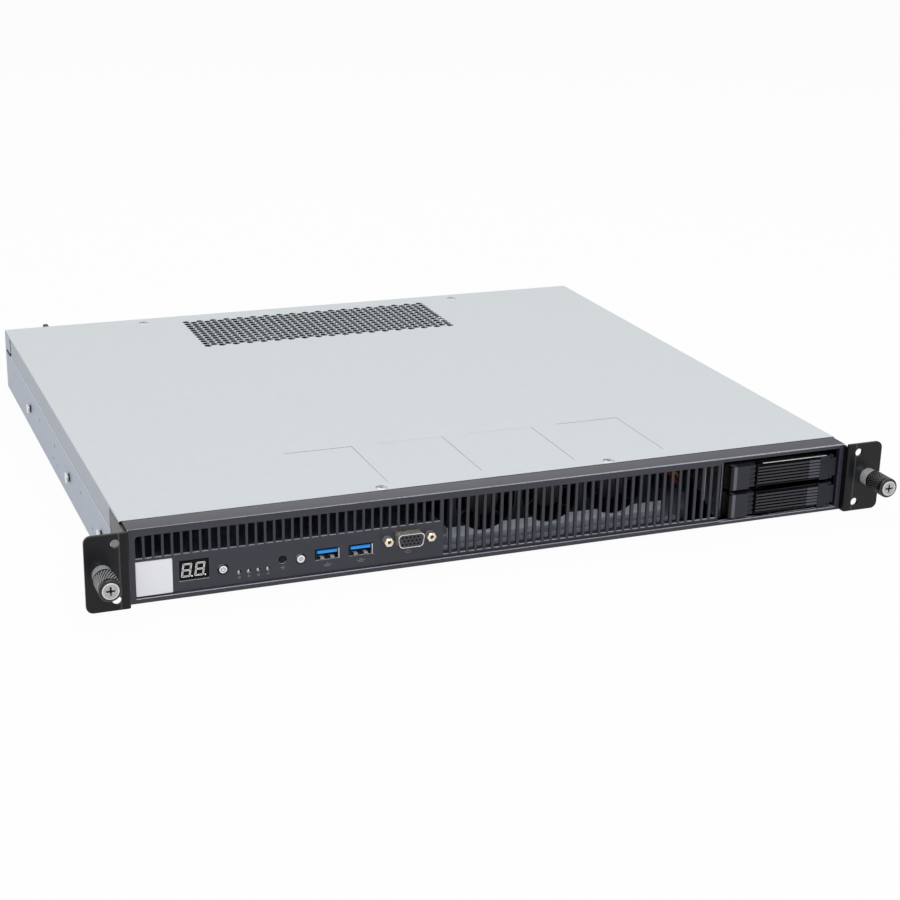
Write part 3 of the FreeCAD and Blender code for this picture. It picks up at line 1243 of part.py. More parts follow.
def dimm_places():
    """X of each memory socket, in pairs."""
    places = []
    for x in DIMM_PAIRS:
        places += [x - DIMM_PITCH / 2, x + DIMM_PITCH / 2]
    return places


def memory_sockets():
    """Four sockets with an end tower each side and a groove for the module."""
    width, height = DIMM_SOCKET
    tower, tower_height = DIMM_TOWER
    y0, y1 = DIMM_Y
    middle = (y0 + y1) / 2
    reach = DIMM_LENGTH / 2
    sockets = []
    for x in dimm_places():
        x0, x1 = x - width / 2, x + width / 2
        body = fuse([block(x0, x1, y0, y1, MAIN_TOP, MAIN_TOP + height),
                     block(x0, x1, y0, y0 + tower, MAIN_TOP, MAIN_TOP + tower_height),
                     block(x0, x1, y1 - tower, y1, MAIN_TOP, MAIN_TOP + tower_height)])
        groove = block(x - DIMM_SHEET / 2, x + DIMM_SHEET / 2, middle - reach, middle + reach,
                       DIMM_SEAT, MAIN_TOP + tower_height + 1)
        sockets.append(cut(body, [groove]))
    return sockets


def memory_modules():
    """Two modules, in the second socket of each pair, with chips on both faces."""
    proud, length, height = DIMM_CHIP
    low = MAIN_TOP + DIMM_CHIP_LIFT
    middle = (DIMM_Y[0] + DIMM_Y[1]) / 2
    pitch = DIMM_LENGTH / (DIMM_CHIPS + 0.5)
    half = DIMM_SHEET / 2
    reach = DIMM_LENGTH / 2
    modules = []
    for x in dimm_places()[1::2]:
        pieces = [block(x - half, x + half, middle - reach, middle + reach, DIMM_SEAT, DIMM_TOP)]
        for i in range(DIMM_CHIPS):
            y = middle + pitch * (i - (DIMM_CHIPS - 1) / 2) - length / 2
            pieces.append(block(x - half - proud, x + half + proud, y, y + length, low, low + height))
        modules.append(fuse(pieces))
    return modules


def riser_card():
    """Upright card in the mainboard with the expansion socket on its right face."""
    y0, y1 = RISER_Y
    right = RISER_X + BOARD
    card = block(RISER_X, right, y0, y1, MAIN_TOP, RISER_TOP)
    depth, height = RISER_SOCKET
    top = RISER_TOP - height + RISER_SOCKET_PROUD
    socket = block(right, right + depth, y0 + RISER_SOCKET_INSET, y1 - RISER_SOCKET_INSET, top - height, top)
    return fuse([card, socket])


def slot_blank():
    """Vented blank over the expansion opening, on the inside of the rear wall."""
    y1 = CHASSIS_REAR - SHEET
    blank = block(SLOT_X[0], SLOT_X[1], y1 - SHEET, y1, SLOT_Z[0], SLOT_Z[1])
    width, pitch = SLOT_VENT
    first = (SLOT_X[0] + SLOT_X[1] - pitch * (SLOT_VENTS - 1) - width) / 2
    holes = []
    for i in range(SLOT_VENTS):
        x = first + pitch * i
        holes.append(block(x, x + width, y1 - SHEET - 1, y1 + 1,
                           SLOT_Z[0] + SLOT_VENT_EDGE, SLOT_Z[1] - SLOT_VENT_EDGE))
    return cut(blank, holes)


# --- power supply ---
def psu_well_back():
    return PSU_REAR - PSU_FAN_SINK - PSU_FAN_DEPTH


def psu_guard():
    """Wire rings and crossed arms flush with the case's rear face."""
    y0 = PSU_REAR - GUARD_SHEET
    guard = []
    for i in range(GUARD_RINGS):
        diameter = PSU_FAN_BORE - GUARD_EDGE - GUARD_STEP * i
        ring = rod_y(PSU_FAN_X, PSU_Z, diameter + GUARD_WIRE, y0, PSU_REAR)
        guard.append(cut(ring, [rod_y(PSU_FAN_X, PSU_Z, diameter, y0 - 1, PSU_REAR + 1)]))
    reach = PSU_FAN_BORE / 2 + GUARD_WIRE / 3
    half = GUARD_WIRE / 2
    for angle in (45, 135):
        arm = block(PSU_FAN_X - reach, PSU_FAN_X + reach, y0, PSU_REAR, PSU_Z - half, PSU_Z + half)
        arm.rotate(V(PSU_FAN_X, 0, PSU_Z), V(0, 1, 0), angle)
        guard.append(arm)
    return guard


def psu_case():
    """Case with its fan well, guard and inlet pocket at the rear and intake slots at the front."""
    back = psu_well_back()
    case = block(PSU_X[0], PSU_X[1], PSU_FRONT, PSU_REAR, FLOOR, PSU_TOP)
    half_w = INLET_WIDTH / 2
    half_h = INLET_HEIGHT / 2
    tools = [rod_y(PSU_FAN_X, PSU_Z, PSU_FAN_BORE, back, PSU_REAR + 1),
             block(INLET_X - half_w, INLET_X + half_w, PSU_REAR - INLET_DEPTH, PSU_REAR + 1,
                   PSU_Z - half_h, PSU_Z + half_h)]
    pitch = (PSU_X[1] - PSU_X[0]) / (PSU_SLOTS + 1)
    for i in range(PSU_SLOTS):
        x = PSU_X[0] + pitch * (i + 1) - PSU_SLOT_WIDTH / 2
        tools.append(block(x, x + PSU_SLOT_WIDTH, PSU_FRONT - 1, PSU_FRONT + PSU_SLOT_DEPTH,
                           FLOOR + PSU_SLOT_EDGE, PSU_TOP - PSU_SLOT_EDGE))
    seat = rod_y(PSU_FAN_X, PSU_Z, HUB_D, back, back + PSU_SEAT)
    bearing = rod_y(PSU_FAN_X, PSU_Z, AXLE_D + 2 * RUN_FIT, back - BEARING_FLOOR, back + PSU_SEAT + 1)
    return cut(fuse([cut(case, tools)] + psu_guard() + [seat]), [bearing])


def psu_fan_rotor():
    """The rotor faces the guard; its axle points inwards to the seat in the well."""
    depth = PSU_FAN_DEPTH - 2 * PSU_SEAT
    rotor = placed(fan_rotor(0, 0, 0, depth, PSU_FAN_BORE), 0, 0, 0, 180)
    rotor.translate(V(PSU_FAN_X, psu_well_back() + PSU_SEAT + ROTOR_LIFT + depth, PSU_Z))
    return rotor


def psu_inlet():
    """Mains inlet set upright: a deep socket with three blades."""
    w = INLET_WIDTH / 2
    h = INLET_HEIGHT / 2
    back = PSU_REAR - INLET_DEPTH
    body = block(INLET_X - w, INLET_X + w, back, PSU_REAR, PSU_Z - h, PSU_Z + h)
    pocket = block(INLET_X - w + INLET_WALL, INLET_X + w - INLET_WALL, back + INLET_BACK, PSU_REAR + 1,
                   PSU_Z - h + INLET_WALL, PSU_Z + h - INLET_WALL)
    half_x = INLET_BLADE[0] / 2
    half_z = INLET_BLADE[1] / 2
    blades = []
    for dx, dz in INLET_BLADES:
        x = INLET_X + dx
        z = PSU_Z + dz
        blades.append(block(x - half_x, x + half_x, back + INLET_BACK, PSU_REAR - 2 * INLET_BACK,
                            z - half_z, z + half_z))
    return fuse([cut(body, [pocket])] + blades)


def psu_handle():
    """Flat strip bent to an upright loop behind the supply."""
    y1 = PSU_REAR + HANDLE_REACH
    z0 = FLOOR + HANDLE_EDGE
    z1 = PSU_TOP - HANDLE_EDGE
    half = HANDLE_WIDTH / 2
    loop = block(HANDLE_X - half, HANDLE_X + half, PSU_REAR, y1, z0, z1)
    loop = rounded_along(loop, (1, 0, 0), HANDLE_BEND, lambda c: c.y > y1 - 1)
    inner = y1 - HANDLE_STRIP
    window = block(HANDLE_X - half - 1, HANDLE_X + half + 1, PSU_REAR - 1, inner,
                   z0 + HANDLE_STRIP, z1 - HANDLE_STRIP)
    window = rounded_along(window, (1, 0, 0), HANDLE_BEND - HANDLE_STRIP, lambda c: c.y > inner - 1)
    return cut(loop, [window])


def lan_jacks():
    """Shielded network sockets: a mouth with a narrower slot above it for the plug's clip."""
    rear = CHASSIS_REAR + REAR_PROUD
    width, height, depth = LAN_MOUTH
    clip_width, clip_height = LAN_CLIP
    sill = MAIN_TOP + LAN_SILL
    jacks = []
    for x in LAN_X:
        half = LAN_WIDTH / 2
        body = block(x - half, x + half, rear - LAN_DEPTH, rear, MAIN_TOP, MAIN_TOP + LAN_HEIGHT)
        mouth = fuse([block(x - width / 2, x + width / 2, rear - depth, rear + 1, sill, sill + height),
                      block(x - clip_width / 2, x + clip_width / 2, rear - depth, rear + 1,
                            sill + height, sill + height + clip_height)])
        jacks.append(cut(body, [mouth]))
    return jacks


# --- leads ---
def lead_corners(name):
    """Corners of one lead, from the mainboard's plug to the plug on the backplane's header."""
    start = BOARD_PLUG_X[0] + LEAD_OFFSETS[name][0]
    end = PLUG_X[0] + LEAD_OFFSETS[name][1]
    corners = []
    for share, forward, height in LEAD_ROUTES[name]:
        corners.append((start + share * (end - start), BOARD_PLUG_Y[0] - forward, FLOOR + height))
    corners.append((end, PLUG_FRONT, corners[-1][2]))
    return corners


def lead(points):
    """Round wire along straight runs joined by tangent arcs."""
    corners = [V(*p) for p in points]
    start = corners[0]
    pieces = []
    for before, corner, after in zip(corners, corners[1:], corners[2:]):
        arrive = (corner - before).normalize()
        depart = (after - corner).normalize()
        turn = arrive.getAngle(depart)
        reach = LEAD_BEND_SHARE * min((corner - before).Length, (after - corner).Length)
        radius = reach / math.tan(turn / 2)
        enter = corner - arrive * reach
        normal = arrive.cross(depart).normalize()
        centre = enter + normal.cross(arrive) * radius
        section = Part.Face(Part.Wire(Part.makeCircle(LEAD_D / 2, enter, arrive)))
        pieces.append(section.revolve(centre, normal, math.degrees(turn)))
        pieces.append(Part.makeCylinder(LEAD_D / 2, (enter - start).Length, start, arrive))
        start = corner + depart * reach
    last = corners[-1] - start
    pieces.append(Part.makeCylinder(LEAD_D / 2, last.Length, start, last))
    return fuse(pieces)


def lead_plugs():
    """Plug on the backplane's header, and the plug on the mainboard's front edge."""
    rear = block(PLUG_X[0], PLUG_X[1], PLUG_FRONT, CAGE_REAR, PLUG_Z[0], PLUG_Z[1])
    front = block(BOARD_PLUG_X[0], BOARD_PLUG_X[1], BOARD_PLUG_Y[0], BOARD_PLUG_Y[1],
                  MAIN_TOP, MAIN_TOP + BOARD_PLUG_HEIGHT)
    return [rear, front]


def build_all():
    nodes = {
        "base_pan": base_pan(),
        "front_frame": front_frame(),
        "front_bezel": front_bezel(),
        "top_cover": top_cover(),
        "cover_screws": cover_screws(),
        "rail_studs": rail_studs(),
        "ear_brackets": both_sides(ear_bracket()),
        "thumbscrew_sleeves": both_sides(thumbscrew_sleeve()),
        "name_plate": name_plate(),
        "status_display": status_display(),
        "status_lights": status_lights(),
        "control_board": control_board(),
        "usb_shells": usb_shells(),
        "usb_tongues": usb_tongues(),
        "vga_shells": vga_shells(),
        "vga_inserts": vga_inserts(),
        "jack_screws": jack_screws(),
        "drive_cage": drive_cage(),
        "drive_backplane": drive_backplane(),
        "fan_bracket": fan_bracket(),
        "fan_frames": [fan_frame(x) for x in FAN_X],
        "mainboard": mainboard(),
        "board_standoffs": board_standoffs(),
        "heat_sink": heat_sink(),
        "air_duct": air_duct(),
        "memory_sockets": memory_sockets(),
        "memory_modules": memory_modules(),
        "riser_card": riser_card(),
        "slot_blank": slot_blank(),
        "psu_case": psu_case(),
        "psu_fan_rotor": psu_fan_rotor(),
        "psu_inlet": psu_inlet(),
        "psu_handle": psu_handle(),
        "lan_jacks": lan_jacks(),
        "lead_plugs": lead_plugs(),
    }
    for name in BUTTONS:
        nodes[name] = button(name)
    for side, x in (("left", -thumbscrew_x()), ("right", thumbscrew_x())):
        nodes[side + "_retaining_ring"] = retaining_ring(x)
        nodes[side + "_screw"] = thumbscrew_screw(x)
        nodes[side + "_collar"] = thumbscrew_collar(x)
    for which in TRAY_BOTTOMS:
        nodes[which + "_tray"] = tray(which)
        nodes[which + "_lever"] = lever(which)
        nodes[which + "_lever_pin"] = lever_pin(which)
        nodes[which + "_latch"] = latch(which)
        nodes[which + "_drive"] = drive(which)
    for side, x in zip(("left", "middle", "right"), FAN_X):
        nodes[side + "_fan_rotor"] = fan_rotor(x, FAN_Z, FAN_FRONT + ROTOR_SINK, ROTOR_DEPTH, FAN_BORE)
    for name in LEAD_ROUTES:
        nodes[name] = lead(lead_corners(name))
    return nodes


def main():
    os.makedirs("parts", exist_ok=True)
    for name, made in build_all().items():
        shape = Part.makeCompound(made) if isinstance(made, list) else made
        solids = shape.Solids
        if not solids or not all(solid.isValid() for solid in solids):
            raise ValueError("not a valid solid: " + name)
        shape.exportStep("parts/" + name + ".step")
        print(name, len(solids), "solids,", round(sum(s.Volume for s in solids) / 1000, 2), "cm3")


main()
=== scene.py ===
import json
import math
import bmesh
import bpy
from mathutils import Matrix, Vector

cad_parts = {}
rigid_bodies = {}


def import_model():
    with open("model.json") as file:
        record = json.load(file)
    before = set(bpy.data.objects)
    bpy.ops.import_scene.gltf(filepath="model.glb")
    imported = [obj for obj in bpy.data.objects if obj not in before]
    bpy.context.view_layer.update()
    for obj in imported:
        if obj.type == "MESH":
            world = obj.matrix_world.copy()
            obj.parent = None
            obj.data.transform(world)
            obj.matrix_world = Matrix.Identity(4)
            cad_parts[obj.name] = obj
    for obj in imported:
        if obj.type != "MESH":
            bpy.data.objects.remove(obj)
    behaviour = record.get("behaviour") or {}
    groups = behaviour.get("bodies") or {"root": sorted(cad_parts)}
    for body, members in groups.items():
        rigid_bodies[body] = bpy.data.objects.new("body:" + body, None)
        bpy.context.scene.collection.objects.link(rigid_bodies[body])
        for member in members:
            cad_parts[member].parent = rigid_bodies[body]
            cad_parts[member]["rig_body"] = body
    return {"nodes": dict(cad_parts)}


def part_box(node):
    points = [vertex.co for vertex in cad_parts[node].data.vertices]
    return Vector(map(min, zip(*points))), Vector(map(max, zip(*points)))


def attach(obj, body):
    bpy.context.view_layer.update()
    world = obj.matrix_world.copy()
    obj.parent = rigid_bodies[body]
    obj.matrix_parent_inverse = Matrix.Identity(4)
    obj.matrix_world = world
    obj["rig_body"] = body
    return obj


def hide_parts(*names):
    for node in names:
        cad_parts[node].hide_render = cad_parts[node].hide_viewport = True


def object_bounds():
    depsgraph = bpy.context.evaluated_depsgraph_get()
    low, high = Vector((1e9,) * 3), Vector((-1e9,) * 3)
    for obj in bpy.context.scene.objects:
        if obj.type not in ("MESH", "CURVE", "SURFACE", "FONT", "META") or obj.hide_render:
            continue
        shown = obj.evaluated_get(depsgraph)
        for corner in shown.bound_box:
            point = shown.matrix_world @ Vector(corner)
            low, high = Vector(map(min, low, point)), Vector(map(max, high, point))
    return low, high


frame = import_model()
cad_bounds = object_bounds()


# --- Studio ---
# The server lies on a pale floor that runs out into a white surround, under one broad soft lamp.
# A smaller lamp in front shines down into the grille, a weak cool one fills the left side, and the camera
# stands in front at the left, a little above.
class Wire:
    """A value in a node tree that is written into sums like a number."""

    def __init__(self, tree, socket):
        self.tree = tree
        self.socket = socket

    def maths(self, operation, *values):
        return self.tree.node("ShaderNodeMath", {"operation": operation}, dict(enumerate(values)))

    def output(self, name):
        return Wire(self.tree, self.socket.node.outputs[name])

    def __add__(self, other):
        return self.maths("ADD", self, other)

    def __radd__(self, other):
        return self.maths("ADD", other, self)

    def __sub__(self, other):
        return self.maths("SUBTRACT", self, other)

    def __rsub__(self, other):
        return self.maths("SUBTRACT", other, self)

    def __mul__(self, other):
        return self.maths("MULTIPLY", self, other)

    def __rmul__(self, other):
        return self.maths("MULTIPLY", other, self)

    def __truediv__(self, other):
        return self.maths("DIVIDE", self, other)

    def __lt__(self, other):
        return self.maths("LESS_THAN", self, other)

    def __gt__(self, other):
        return self.maths("GREATER_THAN", self, other)

    def __mod__(self, other):
        return self.maths("FLOORED_MODULO", self, other)

    def __abs__(self):
        return self.maths("ABSOLUTE", self)

    def __floor__(self):
        return self.maths("FLOOR", self)

    def sine(self):
        return self.maths("SINE", self)


class Tree:
    """A shader or geometry tree that is filled one node at a time."""

    def __init__(self, data):
        self.data = data

    def node(self, kind, settings=None, sockets=None):
        made = self.data.nodes.new(kind)
        for name, value in (settings or {}).items():
            setattr(made, name, value)
        for name, value in (sockets or {}).items():
            if isinstance(value, Wire):
                self.data.links.new(value.socket, made.inputs[name])
            else:
                made.inputs[name].default_value = value
        return Wire(self, made.outputs[0] if made.outputs else None)


def shade(red, green, blue):
    """A colour as a screen shows it, 0 to 255, turned into the linear values that nodes take."""
    parts = [part / 255 for part in (red, green, blue)]
    return [p / 12.92 if p <= 0.04045 else ((p + 0.055) / 1.055) ** 2.4 for p in parts] + [1.0]


def linked(name, data):
    """A new object in the scene from its data."""
    made = bpy.data.objects.new(name, data)
    scene.collection.objects.link(made)
    return made


scene = bpy.context.scene
scene.view_settings.view_transform = "Standard"
AMBIENT = 0.38
FLOOR_GLOW = 0.95
WHITE = (1.0, 1.0, 1.0, 1.0)
FLOOR_REACH = 6
LENS_MM = 72.44
LENS_SHIFT = (-0.0022, -0.0018)
CAMERA_TURN = (-22.096, 19.340, 1.287)
CAMERA_PLACE = (-0.38926, -0.86373, 0.37406)

surround = bpy.data.worlds.new("surround")
surround.use_nodes = True
surround.node_tree.nodes.clear()
scene.world = surround
sky = Tree(surround.node_tree)
rays = sky.node("ShaderNodeLightPath")
seen = rays.output("Is Camera Ray") + rays.output("Is Glossy Ray") + rays.output("Is Transmission Ray")
glow = sky.node("ShaderNodeBackground", {}, {"Color": WHITE, "Strength": AMBIENT + seen * (1 - AMBIENT)})
sky.node("ShaderNodeOutputWorld", {}, {"Surface": glow})

low, high = cad_bounds
floor_mesh = bpy.data.meshes.new("floor")
corners = [(x * FLOOR_REACH, y * FLOOR_REACH, low.z) for x, y in ((-1, -1), (1, -1), (1, 1), (-1, 1))]
floor_mesh.from_pydata(corners, [], [(0, 1, 2, 3)])
floor = linked("floor", floor_mesh)
paper_material = bpy.data.materials.new("paper")
paper_material.use_nodes = True
paper_material.node_tree.nodes.clear()
paper = Tree(paper_material.node_tree)
rays = paper.node("ShaderNodeLightPath")
seen = rays.output("Is Camera Ray") + rays.output("Is Glossy Ray") + rays.output("Is Transmission Ray")
lit = paper.node("ShaderNodeBsdfDiffuse", {}, {"Color": (0.92, 0.92, 0.92, 1.0)})
plain = paper.node("ShaderNodeEmission", {}, {"Color": WHITE, "Strength": 1.0})
mixed = paper.node("ShaderNodeMixShader", {}, {"Fac": seen * FLOOR_GLOW, 1: lit, 2: plain})
paper.node("ShaderNodeOutputMaterial", {}, {"Surface": mixed})
floor_mesh.materials.append(paper_material)


def lamp(name, place, aim, size, power, colour):
    light = bpy.data.lights.new(name, "AREA")
    light.shape = "SQUARE"
    light.size = size
    light.energy = power
    light.color = colour
    made = linked(name, light)
    made.location = place
    made.rotation_mode = "QUATERNION"
    made.rotation_quaternion = (Vector(aim) - Vector(place)).to_track_quat("-Z", "Y")


lamp("overhead", (0.1, 0.35, 1.6), (0.0, 0.2, 0.0), 2.4, 15.0, (1.0, 1.0, 1.0))
lamp("front_key", (-0.2, -1.75, 1.45), (0.0, 0.05, 0.0), 0.8, 16.0, (0.98, 0.99, 1.0))
lamp("left_fill", (-1.9, -0.6, 0.7), (0.0, 0.15, 0.0), 1.2, 0.8, (0.9, 0.95, 1.0))

camera_data = bpy.data.cameras.new("camera")
camera_data.lens = LENS_MM
camera_data.sensor_width = 36.0
camera_data.shift_x, camera_data.shift_y = LENS_SHIFT
camera = linked("camera", camera_data)
turn, rise, roll = [math.radians(angle) for angle in CAMERA_TURN]
back = Vector((math.sin(turn) * math.cos(rise), -math.cos(turn) * math.cos(rise), math.sin(rise)))
level = Vector((math.cos(turn), math.sin(turn), 0.0))
upright = back.cross(level)
across = math.cos(roll) * level + math.sin(roll) * upright
upwards = math.cos(roll) * upright - math.sin(roll) * level
camera.matrix_world = (Matrix.Translation(CAMERA_PLACE)
                       @ Matrix((across, upwards, back)).transposed().to_4x4())
scene.camera = camera


# --- Base pan ---
# One galvanised sheet folded into the floor, the two side walls with their jog, and the rear wall.
# The bends have a small radius, and the zinc is dull with a fine grain drawn along the sheet.
MM = 0.001


class Finish(Tree):
    """A Principled material. Plain values sit on its sockets; what varies is linked to them."""

    def __init__(self, name, metallic=0.0, **constants):
        self.material = bpy.data.materials.new(name)
        self.material.use_nodes = True
        super().__init__(self.material.node_tree)
        self.surface = self.data.nodes["Principled BSDF"]
        self.surface.inputs["Metallic"].default_value = metallic
        for socket, value in constants.items():
            self.surface.inputs[socket.replace("_", " ")].default_value = value
        self.place = self.node("ShaderNodeTexCoord").output("Object")

    def feed(self, socket, value):
        self.data.links.new(value.socket, self.surface.inputs[socket])

    def noise(self, size, detail=2.0, stretch=(1.0, 1.0, 1.0)):
        """Soft random spots about size metres across."""
        place = self.node("ShaderNodeMapping", {}, {"Vector": self.place, "Scale": stretch})
        return self.node("ShaderNodeTexNoise", {}, {"Vector": place, "Scale": 1 / size, "Detail": detail})

    def between(self, first, second, share):
        """Colour that runs from first to second with share."""
        mix = self.node("ShaderNodeMix", {"data_type": "RGBA"}, {"Factor": share, 6: first, 7: second})
        return Wire(self, mix.socket.node.outputs[2])

    def split(self, output="Object"):
        """The three parts of the place on the piece, in metres, or of its facing."""
        parts = self.node("ShaderNodeSeparateXYZ", {}, {"Vector": self.place.output(output)})
        return [parts.output(axis) for axis in "XYZ"]

    def tint(self, colour, share):
        """Lays a second colour over the first where share is one."""
        under = Wire(self, self.surface.inputs["Base Color"].links[0].from_socket)
        self.feed("Base Color", self.between(under, shade(*colour), share))

    def relief(self, height, depth, strength=0.5):
        self.feed("Normal", self.node("ShaderNodeBump", {}, {"Strength": strength, "Distance": depth,
                                                             "Height": height}))


def mottled(name, dark, light, roughness, spread, grain, depth, metallic=0.0, stretch=(1.0, 1.0, 1.0),
            **constants):
    """A finish whose colour and gloss wander between two shades over a fine relief, in millimetres."""
    finish = Finish(name, metallic, **constants)
    cloud = finish.noise(grain * MM * 12, 3.0, stretch)
    speck = finish.noise(grain * MM, 2.0, stretch)
    finish.feed("Base Color", finish.between(shade(*dark), shade(*light), cloud * 0.5 + speck * 0.5))
    finish.feed("Roughness", roughness + (cloud - 0.5) * spread)
    finish.relief(speck, depth * MM)
    return finish


def dress(finish, *nodes):
    """Gives CAD nodes that keep their shape a better finish."""
    for node in nodes:
        for holder in frame["nodes"][node].material_slots:
            holder.material = finish.material


def settled(piece):
    """Turns the piece and its modifiers into plain mesh."""
    graph = bpy.context.evaluated_depsgraph_get()
    graph.update()
    mesh = bpy.data.meshes.new_from_object(piece.evaluated_get(graph))
    piece.modifiers.clear()
    piece.data = mesh
    return piece


def added(piece, finish, node):
    """Lets an extra piece ride with the CAD node that carries it, in the given finish."""
    piece.data.materials.clear()
    piece.data.materials.append(finish.material)
    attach(piece, frame["nodes"][node]["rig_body"])


def finished(piece, finish, node):
    """Puts the piece in the place of a CAD node, on its body and in the given finish."""
    added(piece, finish, node)
    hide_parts(node)


def built(work, name):
    """A piece from the mesh being worked on."""
    mesh = bpy.data.meshes.new(name)
    work.to_mesh(mesh)
    work.free()
    return linked(name, mesh)


def welded(node):
    """A copy of a CAD node with its triangles joined and its flat faces whole."""
    work = bmesh.new()
    work.from_mesh(frame["nodes"][node].data)
    bmesh.ops.remove_doubles(work, verts=work.verts, dist=0.002 * MM)
    bmesh.ops.dissolve_limit(work, angle_limit=math.radians(0.4), verts=work.verts, edges=work.edges)
    return built(work, node + "_form")


SHARP_ANGLE = 38.0


def smoothed(piece, angle=SHARP_ANGLE):
    piece.data.shade_smooth()
    piece.data.set_sharp_from_angle(angle=math.radians(angle))
    return piece


def eased(piece, width, segments=2):
    """Breaks the piece's sharp edges with a small rounding."""
    smoothed(piece)
    ease = piece.modifiers.new("ease", "BEVEL")
    ease.width = width * MM
    ease.segments = segments
    ease.limit_method = "ANGLE"
    ease.angle_limit = math.radians(SHARP_ANGLE)
    ease.harden_normals = True
    ease.use_clamp_overlap = False
    return settled(piece)


def weighted(piece):
    """Lets the large flat faces rule the normals, so that holes and bends throw no false shade on them."""
    smoothed(piece)
    flatten = piece.modifiers.new("flatten", "WEIGHTED_NORMAL")
    flatten.keep_sharp = True
    flatten.weight = 100
    return settled(piece)


def soften(finish, width, *nodes):
    """Replaces CAD nodes by their own form with broken edges."""
    for node in nodes:
        finished(eased(welded(node), width), finish, node)


FLANGE_FOOT = 7.55
FLANGE_HIGHLIGHT_BAND = 0.9
galvanised = mottled("galvanised", (167, 176, 191), (184, 192, 206), 0.46, 0.10, 0.7, 0.02, metallic=0.35,
                     stretch=(1.0, 0.25, 1.0))
height = galvanised.split()[2]
# Painted highlight: a band at the top of the pan's walls, just under the cover's flange foot, is coloured
# near white as the bright line that this edge catches.
galvanised.tint((236, 240, 246), (height > (FLANGE_FOOT - FLANGE_HIGHLIGHT_BAND) * MM)
                * (height < FLANGE_FOOT * MM))
soften(galvanised, 0.3, "base_pan")


# --- Rail studs and board pillars ---
# Shouldered studs of bright plated steel that the sliding rails hook on, riveted through the side walls.
# Hexagonal brass pillars inside carry the two boards.
STUD_WALL = 220.0
bright = mottled("bright_plating", (178, 178, 176), (214, 214, 212), 0.22, 0.12, 0.5, 0.006,
                 metallic=0.95)
brass = mottled("brass", (196, 158, 86), (222, 184, 110), 0.3, 0.1, 0.5, 0.006, metallic=0.95)
stud_steel = mottled("stud_steel", (206, 206, 206), (236, 236, 236), 0.25, 0.12, 0.5, 0.006, metallic=0.6)
# Painted shade: the part of each stud inside the side walls is coloured dark grey for the shade within the
# case.
stud_steel.tint((52, 54, 58), abs(stud_steel.split()[0]) < STUD_WALL * MM)
soften(stud_steel, 0.2, "rail_studs")
dress(brass, "board_standoffs")


# --- Inner sheet-metal ---
# The front frame and the drive cage are folded from bright galvanised sheet. The fan wall's sheet is
# coloured dark as painted shadow of the bezel's top and the cover, and its foot bright as painted light that
# falls in through the grille. They stand on the pan's floor and show through the grille.
FAN_WALL_SHADOW_LINE = -14.5
inner_sheet = mottled("inner_sheet", (150, 154, 158), (196, 200, 203), 0.3, 0.14, 0.8, 0.02,
                      metallic=0.85, stretch=(0.3, 1.0, 1.0))
fan_wall_sheet = mottled("fan_wall_sheet", (30, 32, 36), (52, 56, 61), 0.35, 0.14, 0.8, 0.02,
                         metallic=0.4, stretch=(0.3, 1.0, 1.0))
# Painted light: below this height the fan wall is coloured near white, where light through the grille falls
# on it.
fan_wall_sheet.tint((232, 236, 238), fan_wall_sheet.split()[2] < FAN_WALL_SHADOW_LINE * MM)
soften(inner_sheet, 0.2, "front_frame", "drive_cage")
soften(fan_wall_sheet, 0.2, "fan_bracket")


# --- Boards ---
# Glass-fibre boards under green lacquer: mainboard, control board, drive backplane, riser and memory.
# Copper tracks show faintly through the lacquer as slightly raised lighter lines.
def board_finish(name, dark, light):
    finish = Finish(name, 0.0, Coat_Weight=0.4, Coat_Roughness=0.2)
    track = finish.node("ShaderNodeTexVoronoi", {"distance": "MANHATTAN", "feature": "DISTANCE_TO_EDGE"},
                        {"Vector": finish.place, "Scale": 260.0})
    line = track < 0.07
    cloud = finish.noise(6 * MM)
    finish.feed("Base Color", finish.between(dark, light, line * 0.6 + cloud * 0.25))
    finish.feed("Roughness", 0.42 - line * 0.08 + cloud * 0.05)
    finish.relief(line, 0.03 * MM)
    return finish


lacquer = board_finish("green_lacquer", shade(10, 62, 42), shade(40, 112, 74))
dress(lacquer, "mainboard", "control_board", "drive_backplane", "riser_card", "memory_modules")


# --- Heat sink, duct and memory sockets ---
# The processor is cooled by a block of thin aluminium fins; a thin black plastic duct leads the air to it.
# The memory sockets are moulded in black nylon.
fin_metal = mottled("fin_aluminium", (188, 190, 192), (214, 216, 218), 0.32, 0.12, 0.5, 0.01,
                    metallic=0.9, stretch=(1.0, 0.15, 1.0))
nylon = mottled("black_nylon", (16, 16, 18), (28, 28, 31), 0.5, 0.12, 0.35, 0.02, Specular_IOR_Level=0.3)
dress(fin_metal, "heat_sink")
dress(nylon, "air_duct", "memory_sockets")


# --- Fans ---
# Three 40 mm fans stand side by side behind the fan wall, each with a seven-bladed rotor in a square frame.
# Frames and rotors are moulded in black glass-filled nylon with a dull sheen.
fan_plastic = mottled("fan_plastic", (15, 15, 17), (28, 28, 31), 0.4, 0.1, 0.3, 0.015)
soften(fan_plastic, 0.15, "left_fan_rotor", "middle_fan_rotor", "right_fan_rotor", "psu_fan_rotor")
dress(fan_plastic, "fan_frames")


# --- Power supply ---
# A closed case of satin aluminium sheet with a fan behind a wire guard, a mains inlet set upright and a
# black strip handle bent to a loop.
supply_sheet = mottled("supply_sheet", (160, 164, 166), (190, 194, 196), 0.38, 0.12, 0.8, 0.015,
                       metallic=0.85, stretch=(1.0, 0.2, 1.0))
soften(supply_sheet, 0.25, "psu_case")
soften(nylon, 0.3, "psu_inlet")
HANDLE_RISE = 2.6
handle = welded("psu_handle")
for corner in handle.data.vertices:
    if corner.co.z > 0:
        corner.co.z += HANDLE_RISE * MM
finished(eased(handle, 0.4), nylon, "psu_handle")


# --- Rear sockets ---
# Two shielded network jacks folded from steel, and the vented steel blank that closes the expansion slot.
# Both are bright plated, with their edges broken.
soften(bright, 0.2, "lan_jacks", "slot_blank")


